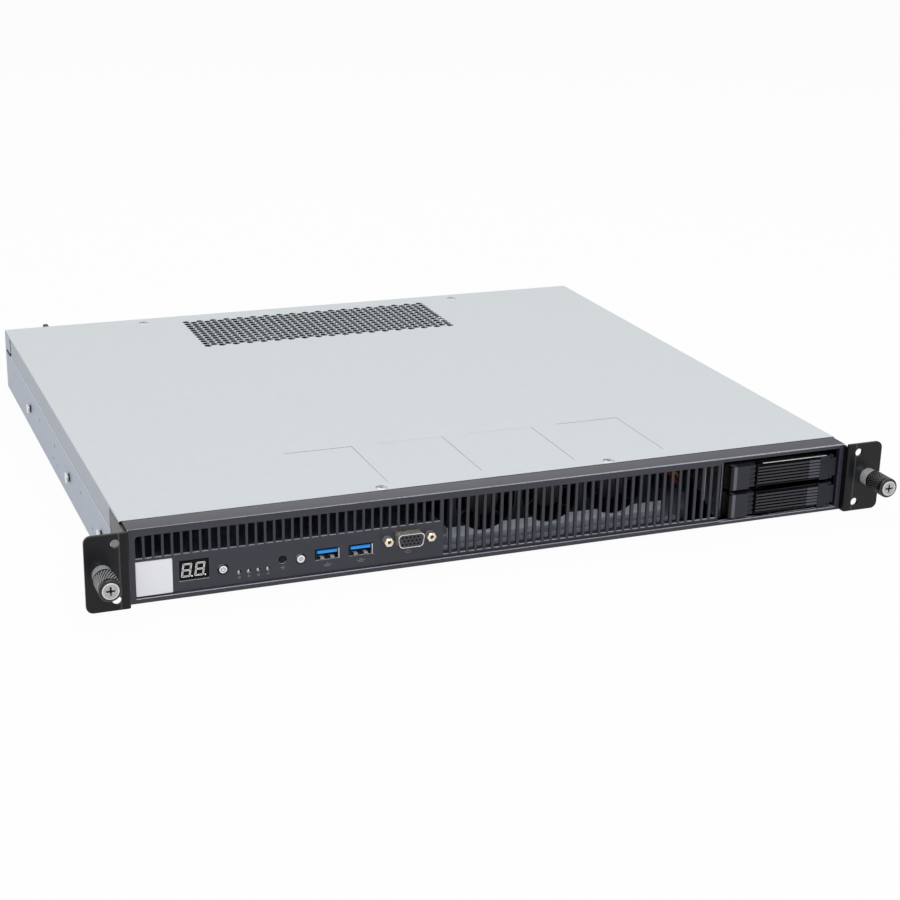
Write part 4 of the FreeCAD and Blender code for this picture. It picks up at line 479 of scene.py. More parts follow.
# --- USB sockets ---
# Folded nickel-plated shells with a bright blue tongue, two at the front and two stacked at the rear.
# The tongue grows from a black block, and two sprung leaves in the shell's floor grip the plug.
USB_PLACES = (-108.35, -89.1)
USB_LEVEL = -7.85
USB_HEIGHT = 5.7
TONGUE_ROOT = 8.5
REAR_ROOT = 396.0
LEAF_WIDTH = 2.2
LEAF_SIDE = ((0.3, 0.1), (1.5, 0.75), (2.8, 0.6), (4.8, 0.1),
             (4.8, -0.1), (2.8, 0.35), (1.5, 0.5), (0.3, -0.1))
shell_nickel = mottled("shell_nickel", (34, 32, 31), (70, 66, 62), 0.22, 0.1, 0.4, 0.006, metallic=0.5)
shell_x, shell_y, shell_z = shell_nickel.split()
# Painted highlight: the shells' bottom rim and right-hand edge at the mouth are coloured near white as the
# light they catch.
painted_rim_highlight = shell_z < (USB_LEVEL - USB_HEIGHT / 2 + 0.1) * MM
for x in USB_PLACES:
    painted_rim_highlight = painted_rim_highlight + (abs(shell_x - (x + 6.5) * MM) < 0.35 * MM)
shell_nickel.tint((240, 236, 228), painted_rim_highlight * (shell_y < 6.0 * MM))
# The blue is given a faint glow: painted light that keeps the tongues bright in the shade of the shells.
blue_nylon = mottled("blue_nylon", (0, 128, 226), (10, 156, 244), 0.35, 0.08, 0.4, 0.01,
                     Emission_Color=shade(0, 150, 240), Emission_Strength=0.25)
depth = blue_nylon.split()[1]
# Painted shade: the tongues' downward-facing faces are coloured deep blue.
blue_nylon.tint((4, 40, 96), blue_nylon.split("Normal")[2] < -0.5)
blue_nylon.tint((8, 8, 10), (depth > TONGUE_ROOT * MM) * (depth < REAR_ROOT * MM))
leaf_bronze = mottled("leaf_bronze", (226, 200, 168), (250, 236, 216), 0.25, 0.08, 0.3, 0.004,
                      metallic=0.5)
soften(shell_nickel, 0.1, "usb_shells")
soften(blue_nylon, 0.1, "usb_tongues")


def drawn_out(name, outlines, axis):
    """Closed bars drawn along one axis, from (outline, start, end), in millimetres."""
    work = bmesh.new()
    for outline, start, end in outlines:
        ends = []
        for reach in (start, end):
            corners = []
            for pair in outline:
                corner = list(pair)
                corner.insert(axis, reach)
                corners.append(work.verts.new([value * MM for value in corner]))
            ends.append(corners)
        near, far = ends
        work.faces.new(near)
        work.faces.new(far[::-1])
        for step in range(len(near)):
            after = (step + 1) % len(near)
            work.faces.new((near[step], far[step], far[after], near[after]))
    bmesh.ops.recalc_face_normals(work, faces=work.faces)
    return built(work, name)


leaves = []
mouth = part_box("usb_shells")[0].y / MM
floor_level = USB_LEVEL - USB_HEIGHT / 2 + 0.45
for x in USB_PLACES:
    for side in (-1, 1):
        centre = x + side * 2.9
        outline = [(mouth + y, floor_level + z) for y, z in LEAF_SIDE]
        leaves.append((outline, centre - LEAF_WIDTH / 2, centre + LEAF_WIDTH / 2))
added(smoothed(drawn_out("usb_leaves", leaves, 0)), leaf_bronze, "usb_shells")


# --- Video sockets ---
# A D-shaped nickel shell round a dark insert with fifteen contact holes, and a hexagonal jack screw at each
# side that holds it to the panel. The first turns of each screw's threaded bore are gilded.
PIN_PITCH = 2.29 * MM
PIN_ROW = 1.98 * MM
PIN_RADIUS = 0.62 * MM
JACK_SPACING = 24.99 * MM
JACK_BORE = 1.35 * MM
JACK_RADIUS = 2.75 * MM
JACK_REACH = 5.0 * MM
THREAD_TURNS = 4
CHASSIS_REAR = 404.8
PANEL_FACE = 4.8
FRONT_VIDEO = (-61.75, -4.1)
REAR_VIDEO = (12.0, -6.9)


class Pattern(Tree):
    """A geometry tree with named inputs for its sizes."""

    def __init__(self, name, **inputs):
        super().__init__(bpy.data.node_groups.new(name, "GeometryNodeTree"))
        sockets = self.data.interface
        sockets.new_socket("Geometry", in_out="INPUT", socket_type="NodeSocketGeometry")
        for label, kind in inputs.items():
            sockets.new_socket(label, in_out="INPUT", socket_type="NodeSocket" + kind)
        sockets.new_socket("Material", in_out="INPUT", socket_type="NodeSocketMaterial")
        sockets.new_socket("Geometry", in_out="OUTPUT", socket_type="NodeSocketGeometry")
        self.given = self.node("NodeGroupInput")

    def close(self, geometry):
        whole = self.node("GeometryNodeRealizeInstances", {}, {"Geometry": geometry})
        painted = self.node("GeometryNodeSetMaterial", {}, {"Geometry": whole,
                                                            "Material": self.given.output("Material")})
        self.node("NodeGroupOutput", {}, {"Geometry": painted})

    def work(self, piece, finish, **values):
        """Runs the tree on the piece with these sizes and leaves plain mesh."""
        values["Material"] = finish.material
        modifier = piece.modifiers.new(self.data.name, "NODES")
        modifier.node_group = self.data
        for item in self.data.interface.items_tree:
            if item.in_out == "INPUT" and item.name in values:
                modifier[item.identifier] = values[item.name]
        return settled(piece)


perforation = Pattern("perforation", Columns="Int", Rows="Int", ColumnPitch="Float", RowPitch="Float",
                      Stagger="Float", TrimOdd="Float", Radius="Float", Sides="Int", Depth="Float",
                      Centre="Vector", Turn="Rotation")
hole = perforation.given
rows = hole.output("Rows")
number = perforation.node("GeometryNodeInputIndex")
column = math.floor(number / rows)
row = number - column * rows
odd = column % 2.0
across = (column - (hole.output("Columns") - 1) * 0.5) * hole.output("ColumnPitch")
along = (row - (rows - 1) * 0.5 + odd * hole.output("Stagger")) * hole.output("RowPitch")
spot = perforation.node("ShaderNodeCombineXYZ", {}, {"X": across, "Y": along})
count = hole.output("Columns") * rows
spots = perforation.node("GeometryNodePoints", {}, {"Count": count, "Position": spot})
spare = odd * hole.output("TrimOdd") * (row > rows - 1.5)
spots = perforation.node("GeometryNodeDeleteGeometry", {}, {"Geometry": spots, "Selection": spare})
punch = perforation.node("GeometryNodeMeshCylinder", {}, {"Vertices": hole.output("Sides"),
                                                          "Radius": hole.output("Radius"),
                                                          "Depth": hole.output("Depth")})
punches = perforation.node("GeometryNodeInstanceOnPoints", {}, {"Points": spots, "Instance": punch})
punches = perforation.node("GeometryNodeRealizeInstances", {}, {"Geometry": punches})
punches = perforation.node("GeometryNodeTransform", {}, {"Geometry": punches,
                                                         "Rotation": hole.output("Turn"),
                                                         "Translation": hole.output("Centre")})
perforation.close(perforation.node("GeometryNodeMeshBoolean", {"operation": "DIFFERENCE", "solver": "EXACT"},
                                   {"Mesh 1": hole.output("Geometry"), "Mesh 2": punches}))


def lathe(name, profile, steps, place, closed=False, upright=False, dent=None):
    """A form turned about a line along Y, or along Z where upright, from (radius, height) corners."""
    work = bmesh.new()
    rings = []
    for radius, height in profile:
        ring = []
        for step in range(steps if radius else 1):
            angle = 2 * math.pi * step / steps
            reach = radius + (dent(angle, height) if dent and radius else 0.0)
            side, rise = reach * math.cos(angle), reach * math.sin(angle)
            offset = (side, rise, height) if upright else (side, height, rise)
            ring.append(work.verts.new(Vector(place) + Vector(offset)))
        rings.append(ring)
    pairs = list(zip(rings, rings[1:])) + ([(rings[-1], rings[0])] if closed else [])
    for near, far in pairs:
        for step in range(steps):
            corners = [near[step % len(near)], near[(step + 1) % len(near)],
                       far[(step + 1) % len(far)], far[step % len(far)]]
            work.faces.new(list(dict.fromkeys(corners)))
    bmesh.ops.recalc_face_normals(work, faces=work.faces)
    return built(work, name)


def joined(name, pieces):
    """One piece from several."""
    work = bmesh.new()
    for piece in pieces:
        work.from_mesh(piece.data)
        bpy.data.objects.remove(piece)
    return built(work, name)


warm_nickel = mottled("warm_nickel", (196, 190, 180), (246, 242, 234), 0.2, 0.1, 0.4, 0.006, metallic=0.7)
# Painted highlight: faces that look straight forward or back, such as the shell's rim and the jack heads,
# are coloured near white.
warm_nickel.tint((238, 234, 228), abs(warm_nickel.split("Normal")[1]) > 0.8)
grey_nylon = mottled("grey_nylon", (44, 44, 50), (58, 58, 64), 0.45, 0.08, 0.3, 0.01)
gilding = mottled("gilding", (190, 150, 84), (232, 196, 128), 0.25, 0.08, 0.3, 0.004, metallic=0.95)
soften(warm_nickel, 0.12, "vga_shells")
inserts = eased(welded("vga_inserts"), 0.15)
low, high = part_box("vga_shells")
sockets = [(FRONT_VIDEO[0] * MM, PANEL_FACE * MM, FRONT_VIDEO[1] * MM, -1),
           (REAR_VIDEO[0] * MM, high.y - 6.0 * MM, REAR_VIDEO[1] * MM, 1)]
crossed = Matrix(((0, 1, 0), (0, 0, 1), (1, 0, 0))).to_euler()
for x, y, z, outward in sockets:
    perforation.work(inserts, grey_nylon, Columns=3, Rows=5, ColumnPitch=PIN_ROW, RowPitch=PIN_PITCH,
                     Stagger=0.5, TrimOdd=0.0, Radius=PIN_RADIUS, Sides=12, Depth=6 * MM,
                     Centre=(x - PIN_PITCH / 4, y + outward * 6 * MM, z), Turn=crossed)
finished(weighted(inserts), grey_nylon, "vga_inserts")
threads = []
barrels = []
for x, y, z, outward in sockets:
    face = CHASSIS_REAR * MM if outward > 0 else y
    for side in (-1, 1):
        mouth = face + outward * JACK_REACH
        centre = (x + side * JACK_SPACING / 2, mouth, z)
        root = -outward * (JACK_REACH + 1 * MM)
        hexagon = [(JACK_BORE, 0.0), (JACK_RADIUS - 0.7 * MM, 0.0), (JACK_RADIUS, -outward * 0.5 * MM),
                   (JACK_RADIUS, root), (JACK_BORE, root)]
        barrels.append(lathe("barrel", hexagon, 6, centre, closed=True))
        profile = []
        for turn in range(2 * THREAD_TURNS + 1):
            crest = 0.72 if turn % 2 else 0.9
            profile.append((JACK_BORE * crest, -outward * turn * 0.28 * MM))
        profile.append((JACK_BORE * 0.99, profile[-1][1]))
        profile.append((JACK_BORE * 0.99, 0.0))
        threads.append(lathe("thread", profile, 24, centre, closed=True))
finished(eased(joined("jack_barrels", barrels), 0.12), warm_nickel, "jack_screws")
added(smoothed(joined("jack_threads", threads)), gilding, "jack_screws")


# --- Drive trays ---
# Two stacked carriers, each with a pull lever and a sliding latch moulded in black, and a black steel pin.
# The lever's front is a row of rounded bars that end in flat tongues, with a plated strip along the upper
# lever's top edge. The 2.5 inch drives lie behind.
BARS = 6
BAR_PITCH = 1.95
BAR_RADIUS = 0.66
TONGUE_HALF = 0.68
STRIP_SPAN = (162.0, 206.0)
STRIP_DEPTH = (3.5, 4.6)
STRIP_RISE = 0.35
BAR_SPAN = (159.2, 194.5)
TONGUE_SPAN = (194.5, 202.0)
LEVER_FACE = 3.3
LOUVRE_DEPTH = 1.5
LATCH_FACET = (142.4, 144.6)
HINGE_SIDE = 206.0
tray_plastic = mottled("tray_plastic", (12, 12, 15), (20, 20, 24), 0.4, 0.1, 0.3, 0.02,
                       Specular_IOR_Level=0.25)
tray_x, tray_depth, _ = tray_plastic.split()
tray_plastic.tint((38, 39, 48), (tray_x > HINGE_SIDE * MM) * (tray_depth < 8 * MM))
latch_plastic = mottled("latch_plastic", (34, 35, 43), (44, 45, 54), 0.35, 0.1, 0.3, 0.02,
                        Specular_IOR_Level=0.3)
# Painted highlight: the latch's left facet is coloured light grey.
latch_plastic.tint((98, 100, 110), latch_plastic.split()[0] < LATCH_FACET[1] * MM)
# Painted shade: the latch's left end, against the bay's left wall, is coloured near black.
latch_plastic.tint((4, 4, 5), latch_plastic.split()[0] < LATCH_FACET[0] * MM)
lever_plastic = mottled("lever_plastic", (34, 35, 43), (44, 45, 54), 0.4, 0.1, 0.3, 0.02,
                        Specular_IOR_Level=0.2)
lever_x, lever_depth, _ = lever_plastic.split()
# Painted shade: the recess behind the bars is coloured near black.
lever_plastic.tint((5, 5, 6), (lever_x < TONGUE_SPAN[1] * MM) * (lever_depth > (LEVER_FACE + 0.2) * MM))
bar_plastic = mottled("bar_plastic", (36, 37, 44), (46, 47, 55), 0.25, 0.1, 0.3, 0.02)
# Painted shade: the bars' downward-facing faces are coloured near black.
bar_plastic.tint((3, 3, 4), bar_plastic.split("Normal")[2] < -0.35)
tongue_plastic = mottled("tongue_plastic", (66, 68, 77), (80, 82, 92), 0.35, 0.1, 0.3, 0.02)
sleeve_plating = mottled("sleeve_plating", (208, 210, 213), (246, 247, 248), 0.22, 0.1, 0.5, 0.006,
                         metallic=0.45)
drive_metal = mottled("drive_metal", (150, 152, 156), (184, 186, 190), 0.35, 0.1, 0.6, 0.01, metallic=0.8)
soften(tray_plastic, 0.3, "lower_tray", "upper_tray")
soften(latch_plastic, 0.4, "lower_latch", "upper_latch")
dress(tray_plastic, "lower_lever_pin", "upper_lever_pin")
dress(drive_metal, "lower_drive", "upper_drive")


def pared(piece, tool):
    """The piece less the tool's volume."""
    paring = piece.modifiers.new("paring", "BOOLEAN")
    paring.operation = "DIFFERENCE"
    paring.solver = "EXACT"
    paring.object = tool
    settled(piece)
    bpy.data.objects.remove(tool)
    return piece


louvre = Pattern("louvre", Bars="Int", Pitch="Float", Radius="Float", Length="Float", Centre="Vector")
bar = louvre.node("GeometryNodeMeshCylinder", {}, {"Vertices": 12, "Radius": louvre.given.output("Radius"),
                                                   "Depth": louvre.given.output("Length")})
bar = louvre.node("GeometryNodeTransform", {}, {"Geometry": bar, "Rotation": (0.0, math.pi / 2, 0.0)})
levels = louvre.node("GeometryNodeInputIndex")
levels = (levels - (louvre.given.output("Bars") - 1) * 0.5) * louvre.given.output("Pitch")
levels = louvre.node("ShaderNodeCombineXYZ", {}, {"Z": levels})
stations = louvre.node("GeometryNodePoints", {}, {"Count": louvre.given.output("Bars"), "Position": levels})
bars = louvre.node("GeometryNodeInstanceOnPoints", {}, {"Points": stations, "Instance": bar})
bars = louvre.node("GeometryNodeTransform", {}, {"Geometry": bars,
                                                 "Translation": louvre.given.output("Centre")})
louvre.close(bars)


def block(x0, x1, y0, y1, z0, z1):
    """A box for drawn_out to draw along X."""
    return ([(y0, z0), (y1, z0), (y1, z1), (y0, z1)], x0, x1)


for row in ("lower", "upper"):
    low, high = [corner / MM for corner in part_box(row + "_lever")]
    middle = (low.z + high.z) / 2
    hollow = drawn_out("hollow", [block(low.x + 0.1, TONGUE_SPAN[1], LEVER_FACE - 1,
                                        LEVER_FACE + LOUVRE_DEPTH, low.z - 1, high.z + 1)], 0)
    finished(eased(pared(welded(row + "_lever"), hollow), 0.2), lever_plastic, row + "_lever")
    slats = linked(row + "_louvre", bpy.data.meshes.new("louvre_start"))
    louvre.work(slats, bar_plastic, Bars=BARS, Pitch=BAR_PITCH * MM, Radius=BAR_RADIUS * MM,
                Length=(BAR_SPAN[1] - BAR_SPAN[0]) * MM,
                Centre=(sum(BAR_SPAN) / 2 * MM, (LEVER_FACE + 0.7) * MM, middle * MM))
    added(smoothed(slats, 50.0), bar_plastic, row + "_lever")
    levels = [middle + BAR_PITCH * (number - (BARS - 1) / 2) for number in range(BARS)]
    tongues = [block(*TONGUE_SPAN, LEVER_FACE + 0.1, LEVER_FACE + 1.2,
                     level - TONGUE_HALF, level + TONGUE_HALF) for level in levels]
    added(eased(drawn_out(row + "_tongues", tongues, 0), 0.15), tongue_plastic, row + "_lever")
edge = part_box("upper_lever")[1].z / MM
strip = drawn_out("lever_strip", [block(*STRIP_SPAN, *STRIP_DEPTH, edge, edge + STRIP_RISE)], 0)
added(eased(strip, 0.08), sleeve_plating, "upper_lever")


# --- Leads ---
# Three insulated wires loop forward from a plug on the mainboard, past the right end of the fan wall, and
# back to a plug on the drive backplane.
yellow_skin = mottled("yellow_insulation", (238, 176, 40), (252, 206, 80), 0.4, 0.1, 0.4, 0.01)
red_skin = mottled("red_insulation", (206, 44, 24), (240, 70, 40), 0.4, 0.1, 0.4, 0.01)
black_skin = mottled("black_insulation", (20, 20, 20), (34, 34, 34), 0.4, 0.1, 0.4, 0.01)
plug_nylon = mottled("plug_nylon", (206, 202, 190), (224, 220, 210), 0.45, 0.1, 0.4, 0.01)
dress(yellow_skin, "yellow_lead")
dress(red_skin, "red_lead")
dress(black_skin, "black_lead")
soften(plug_nylon, 0.3, "lead_plugs")


# --- Bezel ---
# The front panel is one moulding with a shallow recess, a row of short slots over the controls, long
# slots before the fans and an open bay for the drives. Its face has a fine spark-eroded texture. Its
# up-facing ledges and rounded top front edge are coloured bright as painted highlights, and its up-facing
# faces at the joint with the cover are coloured near black as painted shade.
BEZEL_FRONT = 2.8
BEZEL_TOP = 20.7
BEZEL_JOINT = 15.3
EDGE_ROUND = 0.7
bezel_plastic = mottled("bezel_plastic", (36, 37, 48), (47, 48, 62), 0.34, 0.1, 0.3, 0.03)
x, depth, height = bezel_plastic.split()
up = bezel_plastic.split("Normal")[2]
highlight_patches = bezel_plastic.noise(1.2 * MM)
# Painted highlight: up-facing ledges at the panel's front lip and just behind the panel face are coloured
# near white in broken patches.
lip = (depth < (BEZEL_FRONT + 0.9) * MM) + (depth > PANEL_FACE * MM) * (depth < (PANEL_FACE + 1) * MM)
bezel_plastic.tint((214, 216, 226),
                   (up > 0.5) * (height < (BEZEL_TOP - 2) * MM) * lip * (0.6 + highlight_patches * 0.5))
# Painted shade: up-facing faces behind the joint with the cover are coloured near black, for the gap's
# shade.
bezel_plastic.tint((6, 6, 8), (up > 0.3) * (depth > BEZEL_JOINT * MM))
bezel_plastic.feed("Roughness", 0.32 + x * 0.7)
# Painted highlight: the rounded front edge of the top strip is coloured light grey.
bezel_plastic.tint((196, 198, 206), (up > 0.25) * (up < 0.97) * (depth < (BEZEL_FRONT + EDGE_ROUND) * MM)
                   * (height > (BEZEL_TOP - EDGE_ROUND) * MM) * (0.4 + highlight_patches * 0.6))


def rounded(piece, width, chosen):
    """Rounds only the edges whose two ends are both chosen."""
    work = bmesh.new()
    work.from_mesh(piece.data)
    edges = [edge for edge in work.edges if all(chosen(end.co / MM) for end in edge.verts)]
    bmesh.ops.bevel(work, geom=edges, offset=width * MM, segments=3, profile=0.5, affect="EDGES",
                    clamp_overlap=True)
    work.to_mesh(piece.data)
    work.free()
    return piece


def on_front_edge(place):
    return place.y < BEZEL_FRONT + 0.05 and place.z > BEZEL_TOP - 0.05


bezel = rounded(welded("front_bezel"), EDGE_ROUND, on_front_edge)
finished(eased(bezel, 0.25), bezel_plastic, "front_bezel")


# --- Name plate ---
# A bare white plate, smooth and a little glossy, with its edges broken.
# It is stuck into the bezel's lower left corner.
plate_white = mottled("plate_white", (244, 244, 248), (250, 250, 253), 0.3, 0.06, 0.5, 0.003)
soften(plate_white, 0.15, "name_plate")


# --- Display, lights and buttons ---
# A two-digit display behind a dark window, four light pipes, two silvered buttons and a black one.
# The figures are lit bars, and plain grey signs are printed on the panel below the lights and sockets.
DIGIT_WIDTH = 5.0
DIGIT_HEIGHT = 7.7
DIGIT_LEAN = 0.15
FIGURE_PLACES = (-4.1, 3.1)
FIGURE_RISE = 0.35
BAR = 0.2
BAR_PAIR = 0.6
PRINT = 0.03
RIM_RADIUS = 2.55


def slabs(name, outlines, face, thick):
    """Thin plates that stand on a front face, from outlines of (x, z) corners in millimetres."""
    return drawn_out(name, [(outline, face - thick, face) for outline in outlines], 1)


def stroke(x0, z0, x1, z1, width):
    """Outline of a straight bar with pointed ends."""
    along = Vector((x1 - x0, z1 - z0)).normalized()
    side = Vector((-along.y, along.x)) * width / 2
    start, end = Vector((x0, z0)), Vector((x1, z1))
    tip = along * width / 2
    return [tuple(start - tip), tuple(start - side), tuple(end - side), tuple(end + tip), tuple(end + side),
            tuple(start + side)]


def ring(x, z, radius, width, first=0.0, last=360.0, parts=20):
    """Outlines of the short plates that make a ring or an open arc."""
    plates = []
    for part in range(parts):
        start = math.radians(first + (last - first) * part / parts)
        end = math.radians(first + (last - first) * (part + 1) / parts)
        inner, outer = radius - width / 2, radius + width / 2
        plates.append([(x + inner * math.cos(start), z + inner * math.sin(start)),
                       (x + outer * math.cos(start), z + outer * math.sin(start)),
                       (x + outer * math.cos(end), z + outer * math.sin(end)),
                       (x + inner * math.cos(end), z + inner * math.sin(end))])
    return plates


def figure(x, z):
    """All seven doubled bars of one leaning figure and the point at its lower right."""
    half_w, half_h = (DIGIT_WIDTH - BAR) / 2, (DIGIT_HEIGHT - BAR) / 2
    gap = BAR * 1.3
    bars = []
    for inset in (0.0, BAR_PAIR):
        w, h = half_w - inset, half_h - inset
        for level in (h, -h):
            bars.append(((-w + gap, level), (w - gap, level)))
        for side in (-w, w):
            bars.append(((side, gap + inset * 0.7), (side, h - gap)))
            bars.append(((side, -h + gap), (side, -gap - inset * 0.7)))
    for level in (-BAR_PAIR / 2, BAR_PAIR / 2):
        bars.append(((-half_w + 2 * gap, level), (half_w - 2 * gap, level)))
    outlines = []
    for start, end in bars:
        ends = [(x + px + pz * DIGIT_LEAN, z + pz) for px, pz in (start, end)]
        outlines.append(stroke(*ends[0], *ends[1], BAR))
    return outlines + ring(x + half_w + 0.45, z - half_h + 0.1, 0.2, 0.4, parts=10)


window_black = mottled("window_black", (8, 8, 9), (14, 14, 16), 0.2, 0.04, 0.5, 0.002,
                       Specular_IOR_Level=0.1)
window_edge = mottled("window_edge", (66, 68, 72), (84, 86, 90), 0.3, 0.05, 0.4, 0.003)
lit_bar = mottled("lit_bar", (214, 216, 218), (240, 242, 244), 0.4, 0.05, 0.3, 0.002,
                  Emission_Color=WHITE, Emission_Strength=0.55)
lens_light = mottled("lens_light", (176, 184, 168), (214, 220, 206), 0.15, 0.05, 0.3, 0.003)
lens_dark = mottled("lens_dark", (6, 7, 6), (12, 13, 12), 0.2, 0.05, 0.3, 0.003, Specular_IOR_Level=0.2)
silver_cap = mottled("silver_cap", (240, 242, 245), (252, 252, 253), 0.25, 0.08, 0.3, 0.006)
black_cap = mottled("black_cap", (6, 6, 7), (12, 12, 13), 0.4, 0.1, 0.3, 0.01, Specular_IOR_Level=0.2)
grey_print = mottled("grey_print", (126, 128, 138), (160, 162, 170), 0.5, 0.05, 0.2, 0.002)
dark_print = mottled("dark_print", (58, 60, 66), (82, 84, 90), 0.5, 0.05, 0.2, 0.002)
soften(window_black, 0.15, "status_display")
low, high = [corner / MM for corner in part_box("status_display")]
centre = (low + high) / 2
face = low.y
figures = [plate for x in FIGURE_PLACES for plate in figure(centre.x + x, centre.z + FIGURE_RISE)]
added(slabs("display_figures", figures, face, PRINT), lit_bar, "status_display")
added(slabs("display_edge", [stroke(low.x + 0.6, low.z + 0.3, high.x - 0.6, low.z + 0.3, 0.3)], face, PRINT),
      window_edge, "status_display")

LIGHTS = 4
LENS = 1.0
LIGHT_LEVEL = -11.8
LIGHT_PLACES = [-157.9 + 5.33 * light for light in range(LIGHTS)]
SIGN_LEVEL = LIGHT_LEVEL - 3.0
SIGN_PLACES = ((-133.7, -12.4, 1.2), (USB_PLACES[0], -14.1, 2.4), (USB_PLACES[1], -14.1, 2.4),
               (FRONT_VIDEO[0], -12.4, 2.2))
finished(eased(welded("status_lights"), 0.1), lens_dark, "status_lights")


def half_lens(x):
    """The left half of a domed light, which is coloured light as a painted highlight."""
    dome = [(0.0, -0.35 * MM), (0.45 * MM, -0.28 * MM), (0.8 * MM, -0.12 * MM), (LENS * MM, 0.1 * MM),
            (0.0, 0.1 * MM)]
    lens = lathe("lens", dome, 20, (x * MM, (PANEL_FACE + 0.1) * MM, LIGHT_LEVEL * MM))
    work = bmesh.new()
    work.from_mesh(lens.data)
    cutting = bmesh.ops.bisect_plane(work, geom=work.verts[:] + work.edges[:] + work.faces[:],
                                     plane_co=((x + 0.12) * MM, 0, 0), plane_no=(1, 0, 0), clear_outer=True)
    rim = [part for part in cutting["geom_cut"] if isinstance(part, bmesh.types.BMEdge)]
    bmesh.ops.contextual_create(work, geom=rim)
    bmesh.ops.recalc_face_normals(work, faces=work.faces)
    work.to_mesh(lens.data)
    work.free()
    return lens


# Painted highlight: the left half of each domed lens is coloured light green, and the rest stays dark.
lenses = joined("light_lenses", [half_lens(x) for x in LIGHT_PLACES])
added(smoothed(lenses, 50.0), lens_light, "status_lights")

soften(silver_cap, 0.3, "power_button", "id_button")
soften(black_cap, 0.3, "reset_button")
low, high = [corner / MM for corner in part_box("power_button")]
middle = (low + high) / 2
power_rim = ring(middle.x, middle.z, RIM_RADIUS, 0.8, parts=32)
added(slabs("power_rim", power_rim, low.y, PRINT), black_cap, "power_button")
power_sign = ring(middle.x, middle.z - 0.1, 1.1, 0.3, 125.0, 415.0)
power_sign.append(stroke(middle.x, middle.z + 0.2, middle.x, middle.z + 1.35, 0.3))
added(slabs("power_sign", power_sign, low.y, PRINT), dark_print, "power_button")
low, high = [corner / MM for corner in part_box("id_button")]
middle = (low + high) / 2
finder_rim = ring(middle.x, middle.z, RIM_RADIUS, 0.7, parts=32)
added(slabs("finder_rim", finder_rim, low.y, PRINT), black_cap, "id_button")
finder_sign = ring(middle.x, middle.z, 1.0, 0.28) + ring(middle.x, middle.z, 0.2, 0.4, parts=8)
added(slabs("finder_sign", finder_sign, low.y, PRINT), dark_print, "id_button")
signs = []
for x in LIGHT_PLACES:
    signs += ring(x, SIGN_LEVEL, 0.6, 0.16, parts=12)
    signs.append(stroke(x - 0.3, SIGN_LEVEL, x + 0.3, SIGN_LEVEL, 0.16))
for x, z, reach in SIGN_PLACES:
    signs.append(stroke(x - reach, z, x + reach, z, 0.22))
    signs.append(stroke(x - reach * 0.6, z - 0.9, x + reach * 0.6, z - 0.9, 0.22))
    signs.append(stroke(x - reach * 0.3, z + 0.8, x + reach * 0.3, z + 0.8, 0.22))
added(slabs("panel_signs", signs, PANEL_FACE, PRINT), grey_print, "front_bezel")


# --- Rack ears and thumbscrews ---
# Each ear is a bent steel plate in black powder coat. Its captive thumbscrew runs in a plated sleeve and
# has a knurled black collar round a turned steel head.
EAR_BEND = 222.6
BEND_HIGHLIGHT_WIDTH = 0.9
ear_paint = mottled("black_powder", (9, 10, 13), (16, 17, 21), 0.34, 0.12, 0.4, 0.03,
                    Specular_IOR_Level=0.3)
reach = abs(ear_paint.split()[0])
# Painted shade: the ear's inner part, up to the bend beside the bezel, is coloured near black for the dark
# groove there.
ear_paint.tint((4, 4, 5), reach < EAR_BEND * MM)
# Painted highlight: a band just outside the bend is coloured grey, for the light the bend catches.
ear_paint.tint((60, 62, 70), (reach > EAR_BEND * MM) * (reach < (EAR_BEND + BEND_HIGHLIGHT_WIDTH) * MM))
soften(ear_paint, 0.4, "ear_brackets")
soften(sleeve_plating, 0.25, "thumbscrew_sleeves", "left_retaining_ring", "right_retaining_ring")
KNURLS = 24
KNURL_DEPTH = 0.28 * MM
KNURL_LEAD = 1.0 / MM
grip_black = mottled("grip_black", (12, 12, 13), (22, 22, 24), 0.25, 0.1, 0.3, 0.02)
low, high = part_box("right_collar")
side, along, rise = grip_black.split()
turned = rise.maths("ARCTAN2", rise, abs(side) - (low.x + high.x) / 2)
crest = abs((turned * (KNURLS / 2) - along * KNURL_LEAD).sine())
# Painted highlight: the knurl's crests are coloured light grey, strongly on the left collar and faintly on
# the right.
grip_black.tint((158, 159, 164), (crest > 0.7) * (along > low.y + 2.9 * MM) * (along < high.y - 1.6 * MM)
                * ((side < 0) * 0.8 + 0.12))


def knurled(start, end):
    """Depth of crossed diagonal grooves between two heights on a grip."""
    def dent(angle, height):
        if not start < height < end:
            return 0.0
        waves = [abs(math.sin(KNURLS * angle / 2 + lean * height * KNURL_LEAD)) for lean in (-1, 1)]
        return -KNURL_DEPTH * (1 - min(waves)) ** 2
    return dent


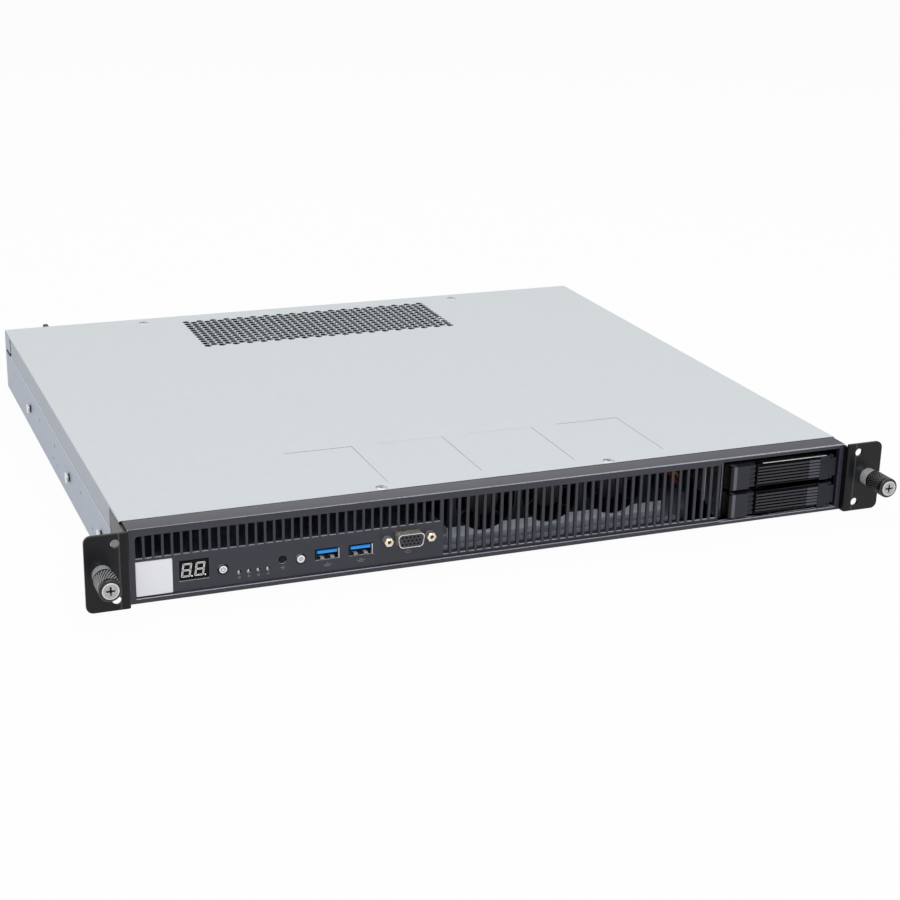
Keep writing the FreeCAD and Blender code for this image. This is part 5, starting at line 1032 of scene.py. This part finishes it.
def grip(node):
    """The collar's cup: a plain rounded lip, a narrow groove, the knurl and a plain rear edge."""
    low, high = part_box(node)
    x, z = (low.x + high.x) / 2, (low.z + high.z) / 2
    radius = (high.x - low.x) / 2
    front, rear = low.y, high.y
    lip = front + 1.7 * MM
    profile = [(2.5 * MM, front), (radius - 1.3 * MM, front), (radius - 1.0 * MM, front + 0.03 * MM)]
    for step in range(7):
        lean = math.pi / 2 * step / 6
        profile.append((radius - 0.8 * MM * (1 - math.sin(lean)), front + 0.8 * MM * (1 - math.cos(lean))))
    profile += [(radius, lip), (radius - 0.4 * MM, lip + 0.02 * MM), (radius - 0.4 * MM, lip + 0.4 * MM),
                (radius, lip + 0.42 * MM)]
    rows = 44
    for step in range(1, rows):
        profile.append((radius, lip + 0.42 * MM + (rear - 1.2 * MM - lip - 0.42 * MM) * step / rows))
    profile += [(radius, rear - 1.2 * MM), (radius, rear - 0.3 * MM), (radius - 0.3 * MM, rear),
                (radius - 0.5 * MM, rear), (radius - 0.5 * MM, front + 2.5 * MM),
                (2.5 * MM, front + 2.5 * MM)]
    piece = lathe(node + "_grip", profile, 180, (x, 0, z), closed=True,
                  dent=knurled(lip + 0.8 * MM, rear - 1.6 * MM))
    finished(smoothed(piece, 55.0), grip_black, node)


grip("left_collar")
grip("right_collar")
RING_PITCH = 0.42 * MM
turned_steel = Finish("turned_steel", 0.6)
low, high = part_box("right_screw")
axis = (low.x + high.x) / 2
side, depth, height = turned_steel.split()
off_axis = abs(side) - axis
square = off_axis * off_axis + height * height
reach = square.maths("SQRT", square)
rings = (reach * (2 * math.pi / RING_PITCH)).sine()
cloud = turned_steel.noise(1.5 * MM)
turned_steel.feed("Base Color", turned_steel.between(shade(110, 110, 112), shade(224, 224, 226),
                                                     rings * 0.4 + cloud * 0.4 + 0.3))
# Painted highlight: the head's rim is coloured light grey.
turned_steel.tint((222, 221, 220), reach > 3.9 * MM)
# Painted shade: the cross recess is coloured near black.
turned_steel.tint((22, 22, 24), (depth > low.y + 0.35 * MM) * (reach < 1.9 * MM))
turned_steel.feed("Roughness", 0.26 + cloud * 0.1)
turned_steel.relief(rings, 0.02 * MM)
soften(turned_steel, 0.15, "left_screw", "right_screw")


# --- Top cover ---
# One galvanised sheet folded down over both sides, with a honeycomb vent at the rear, four fields near the
# front marked by fine creases, and four screws sunk in shallow round seats.
SHEET = 1.0
COVER_BEND = 1.0
VENT_PITCH = 5.8
VENT_COLUMNS = 37
VENT_ROWS = 12
VENT_FLAT = 5.0
VENT_CENTRE = (-1.9, 354.5)
VENT_REACH = (100.0, 40.0)
FIELD_PLACES = (-86.1, -28.9, 29.4, 87.7)
FIELD_WIDTH = 41.4
FIELD_SPAN = (28.5, 91.0)
FIELD_DEPTH = 0.35
SEAT_RADIUS = 3.3
SEATS = ((-71.9, 20.6), (68.1, 20.6), (-121.9, 393.8), (118.1, 393.8))
FLANGE_SPAN = (40.5, 378.8)
CREASE = 0.45


def oblong(x0, x1, y0, y1):
    return [(x0, y0), (x1, y0), (x1, y1), (x0, y1)]


def disc(x, y, radius, sides=32):
    angles = [2 * math.pi * side / sides for side in range(sides)]
    return [(x + radius * math.cos(angle), y + radius * math.sin(angle)) for angle in angles]


def folded_sheet(low, high):
    """The cover's cross-section with round bends, drawn out along its whole depth."""
    half, top = high.x, high.z
    outer = []
    for step in range(5):
        lean = math.pi / 2 * step / 4
        outer.append((half - COVER_BEND * (1 - math.sin(lean)), top - COVER_BEND * (1 - math.cos(lean))))
    right = outer + [(half, FLANGE_FOOT), (half - SHEET, FLANGE_FOOT), (half - SHEET, top - SHEET)]
    outline = [(-x, z) for x, z in right[::-1]] + right
    return drawn_out("cover_sheet", [(outline, low.y, high.y)], 1)


cover_zinc = mottled("cover_zinc", (204, 210, 214), (218, 223, 226), 0.5, 0.08, 0.6, 0.015, metallic=0.15)
low, high = [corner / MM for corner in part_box("top_cover")]
side, depth, height = cover_zinc.split()
facing = cover_zinc.split("Normal")
over_vent = ((abs(side - VENT_CENTRE[0] * MM) < VENT_REACH[0] * MM)
             * (abs(depth - VENT_CENTRE[1] * MM) < VENT_REACH[1] * MM))
# Painted shade: the walls of the vent's holes are coloured dark grey.
cover_zinc.tint((58, 60, 64), (abs(facing[2]) < 0.5) * over_vent)
# Painted shade: faces that look sideways, the flanges, are coloured a darker, bluer grey than the top.
cover_zinc.tint((180, 187, 198), abs(facing[0]) > 0.7)
# Painted shade: the front-facing cut edge is coloured near black, for the dark line of the gap behind the
# bezel.
cover_zinc.tint((40, 41, 44), facing[1] < -0.6)
cover_zinc.tint((112, 116, 122), height < (FLANGE_FOOT + 0.45) * MM)
cover = folded_sheet(low, high)
under = high.z - SHEET
waste = [(oblong(side * (high.x + 2), side * (high.x - SHEET), y0, y1), FLANGE_FOOT - 1, under)
         for side in (-1, 1) for y0, y1 in ((low.y - 1, FLANGE_SPAN[0]), (FLANGE_SPAN[1], high.y + 1))]
for x, y in SEATS:
    waste.append((disc(x, y, SEAT_RADIUS), high.z - SHEET / 2, high.z + 1))
cover = pared(cover, drawn_out("cover_waste", waste, 2))
cover = eased(cover, 0.22)
creases = []
for x in FIELD_PLACES:
    left, right = x - FIELD_WIDTH / 2, x + FIELD_WIDTH / 2
    front, rear = FIELD_SPAN
    groove = [(left, rear), (left, rear - CREASE), (right - CREASE, rear - CREASE), (right - CREASE, front),
              (right, front), (right, rear)]
    creases.append((groove, high.z - FIELD_DEPTH, high.z + 1))
cover = pared(cover, drawn_out("creases", creases, 2))
perforation.work(cover, cover_zinc, Columns=VENT_COLUMNS, Rows=VENT_ROWS,
                 ColumnPitch=VENT_PITCH * math.sqrt(3) / 2 * MM, RowPitch=VENT_PITCH * MM,
                 Stagger=0.5, TrimOdd=1.0, Radius=VENT_FLAT / math.sqrt(3) * MM, Sides=6, Depth=3 * MM,
                 Centre=(VENT_CENTRE[0] * MM, VENT_CENTRE[1] * MM, (high.z - SHEET / 2) * MM),
                 Turn=(0.0, 0.0, 0.0))
finished(weighted(cover), cover_zinc, "top_cover")

fastening = Pattern("fastening", Screw="Object")
screw = fastening.node("GeometryNodeObjectInfo", {}, {"Object": fastening.given.output("Screw")})
placed = fastening.node("GeometryNodeInstanceOnPoints", {}, {"Points": fastening.given.output("Geometry"),
                                                             "Instance": screw.output("Geometry")})
fastening.close(placed)
CROWN = 0.55 * MM
HEAD = 3.1 * MM
SHANK = 1.4 * MM
dome = [(0.0, CROWN), (1.4 * MM, CROWN * 0.94), (2.3 * MM, CROWN * 0.72), (2.85 * MM, CROWN * 0.35),
        (HEAD, 0.0), (HEAD, -0.3 * MM), (SHANK, -0.3 * MM), (SHANK, -2.6 * MM), (0.0, -2.6 * MM)]
one_screw = lathe("one_screw", dome, 32, (0, 0, 0), upright=True)
one_screw = pared(one_screw, drawn_out("recess", [(oblong(-1.6, 1.6, -0.32, 0.32), -0.4, 1.0),
                                               (oblong(-0.32, 0.32, -1.6, -0.33), -0.4, 1.0),
                                               (oblong(-0.32, 0.32, 0.33, 1.6), -0.4, 1.0)], 2))
smoothed(one_screw)
seat_mesh = bpy.data.meshes.new("screw_places")
seat_mesh.from_pydata([(x * MM, y * MM, (high.z - SHEET / 2 + 0.12) * MM) for x, y in SEATS], [], [])
cover_screws = linked("cover_fasteners", seat_mesh)
fastening.work(cover_screws, bright, Screw=one_screw)
bpy.data.objects.remove(one_screw)
finished(smoothed(cover_screws), bright, "cover_screws")
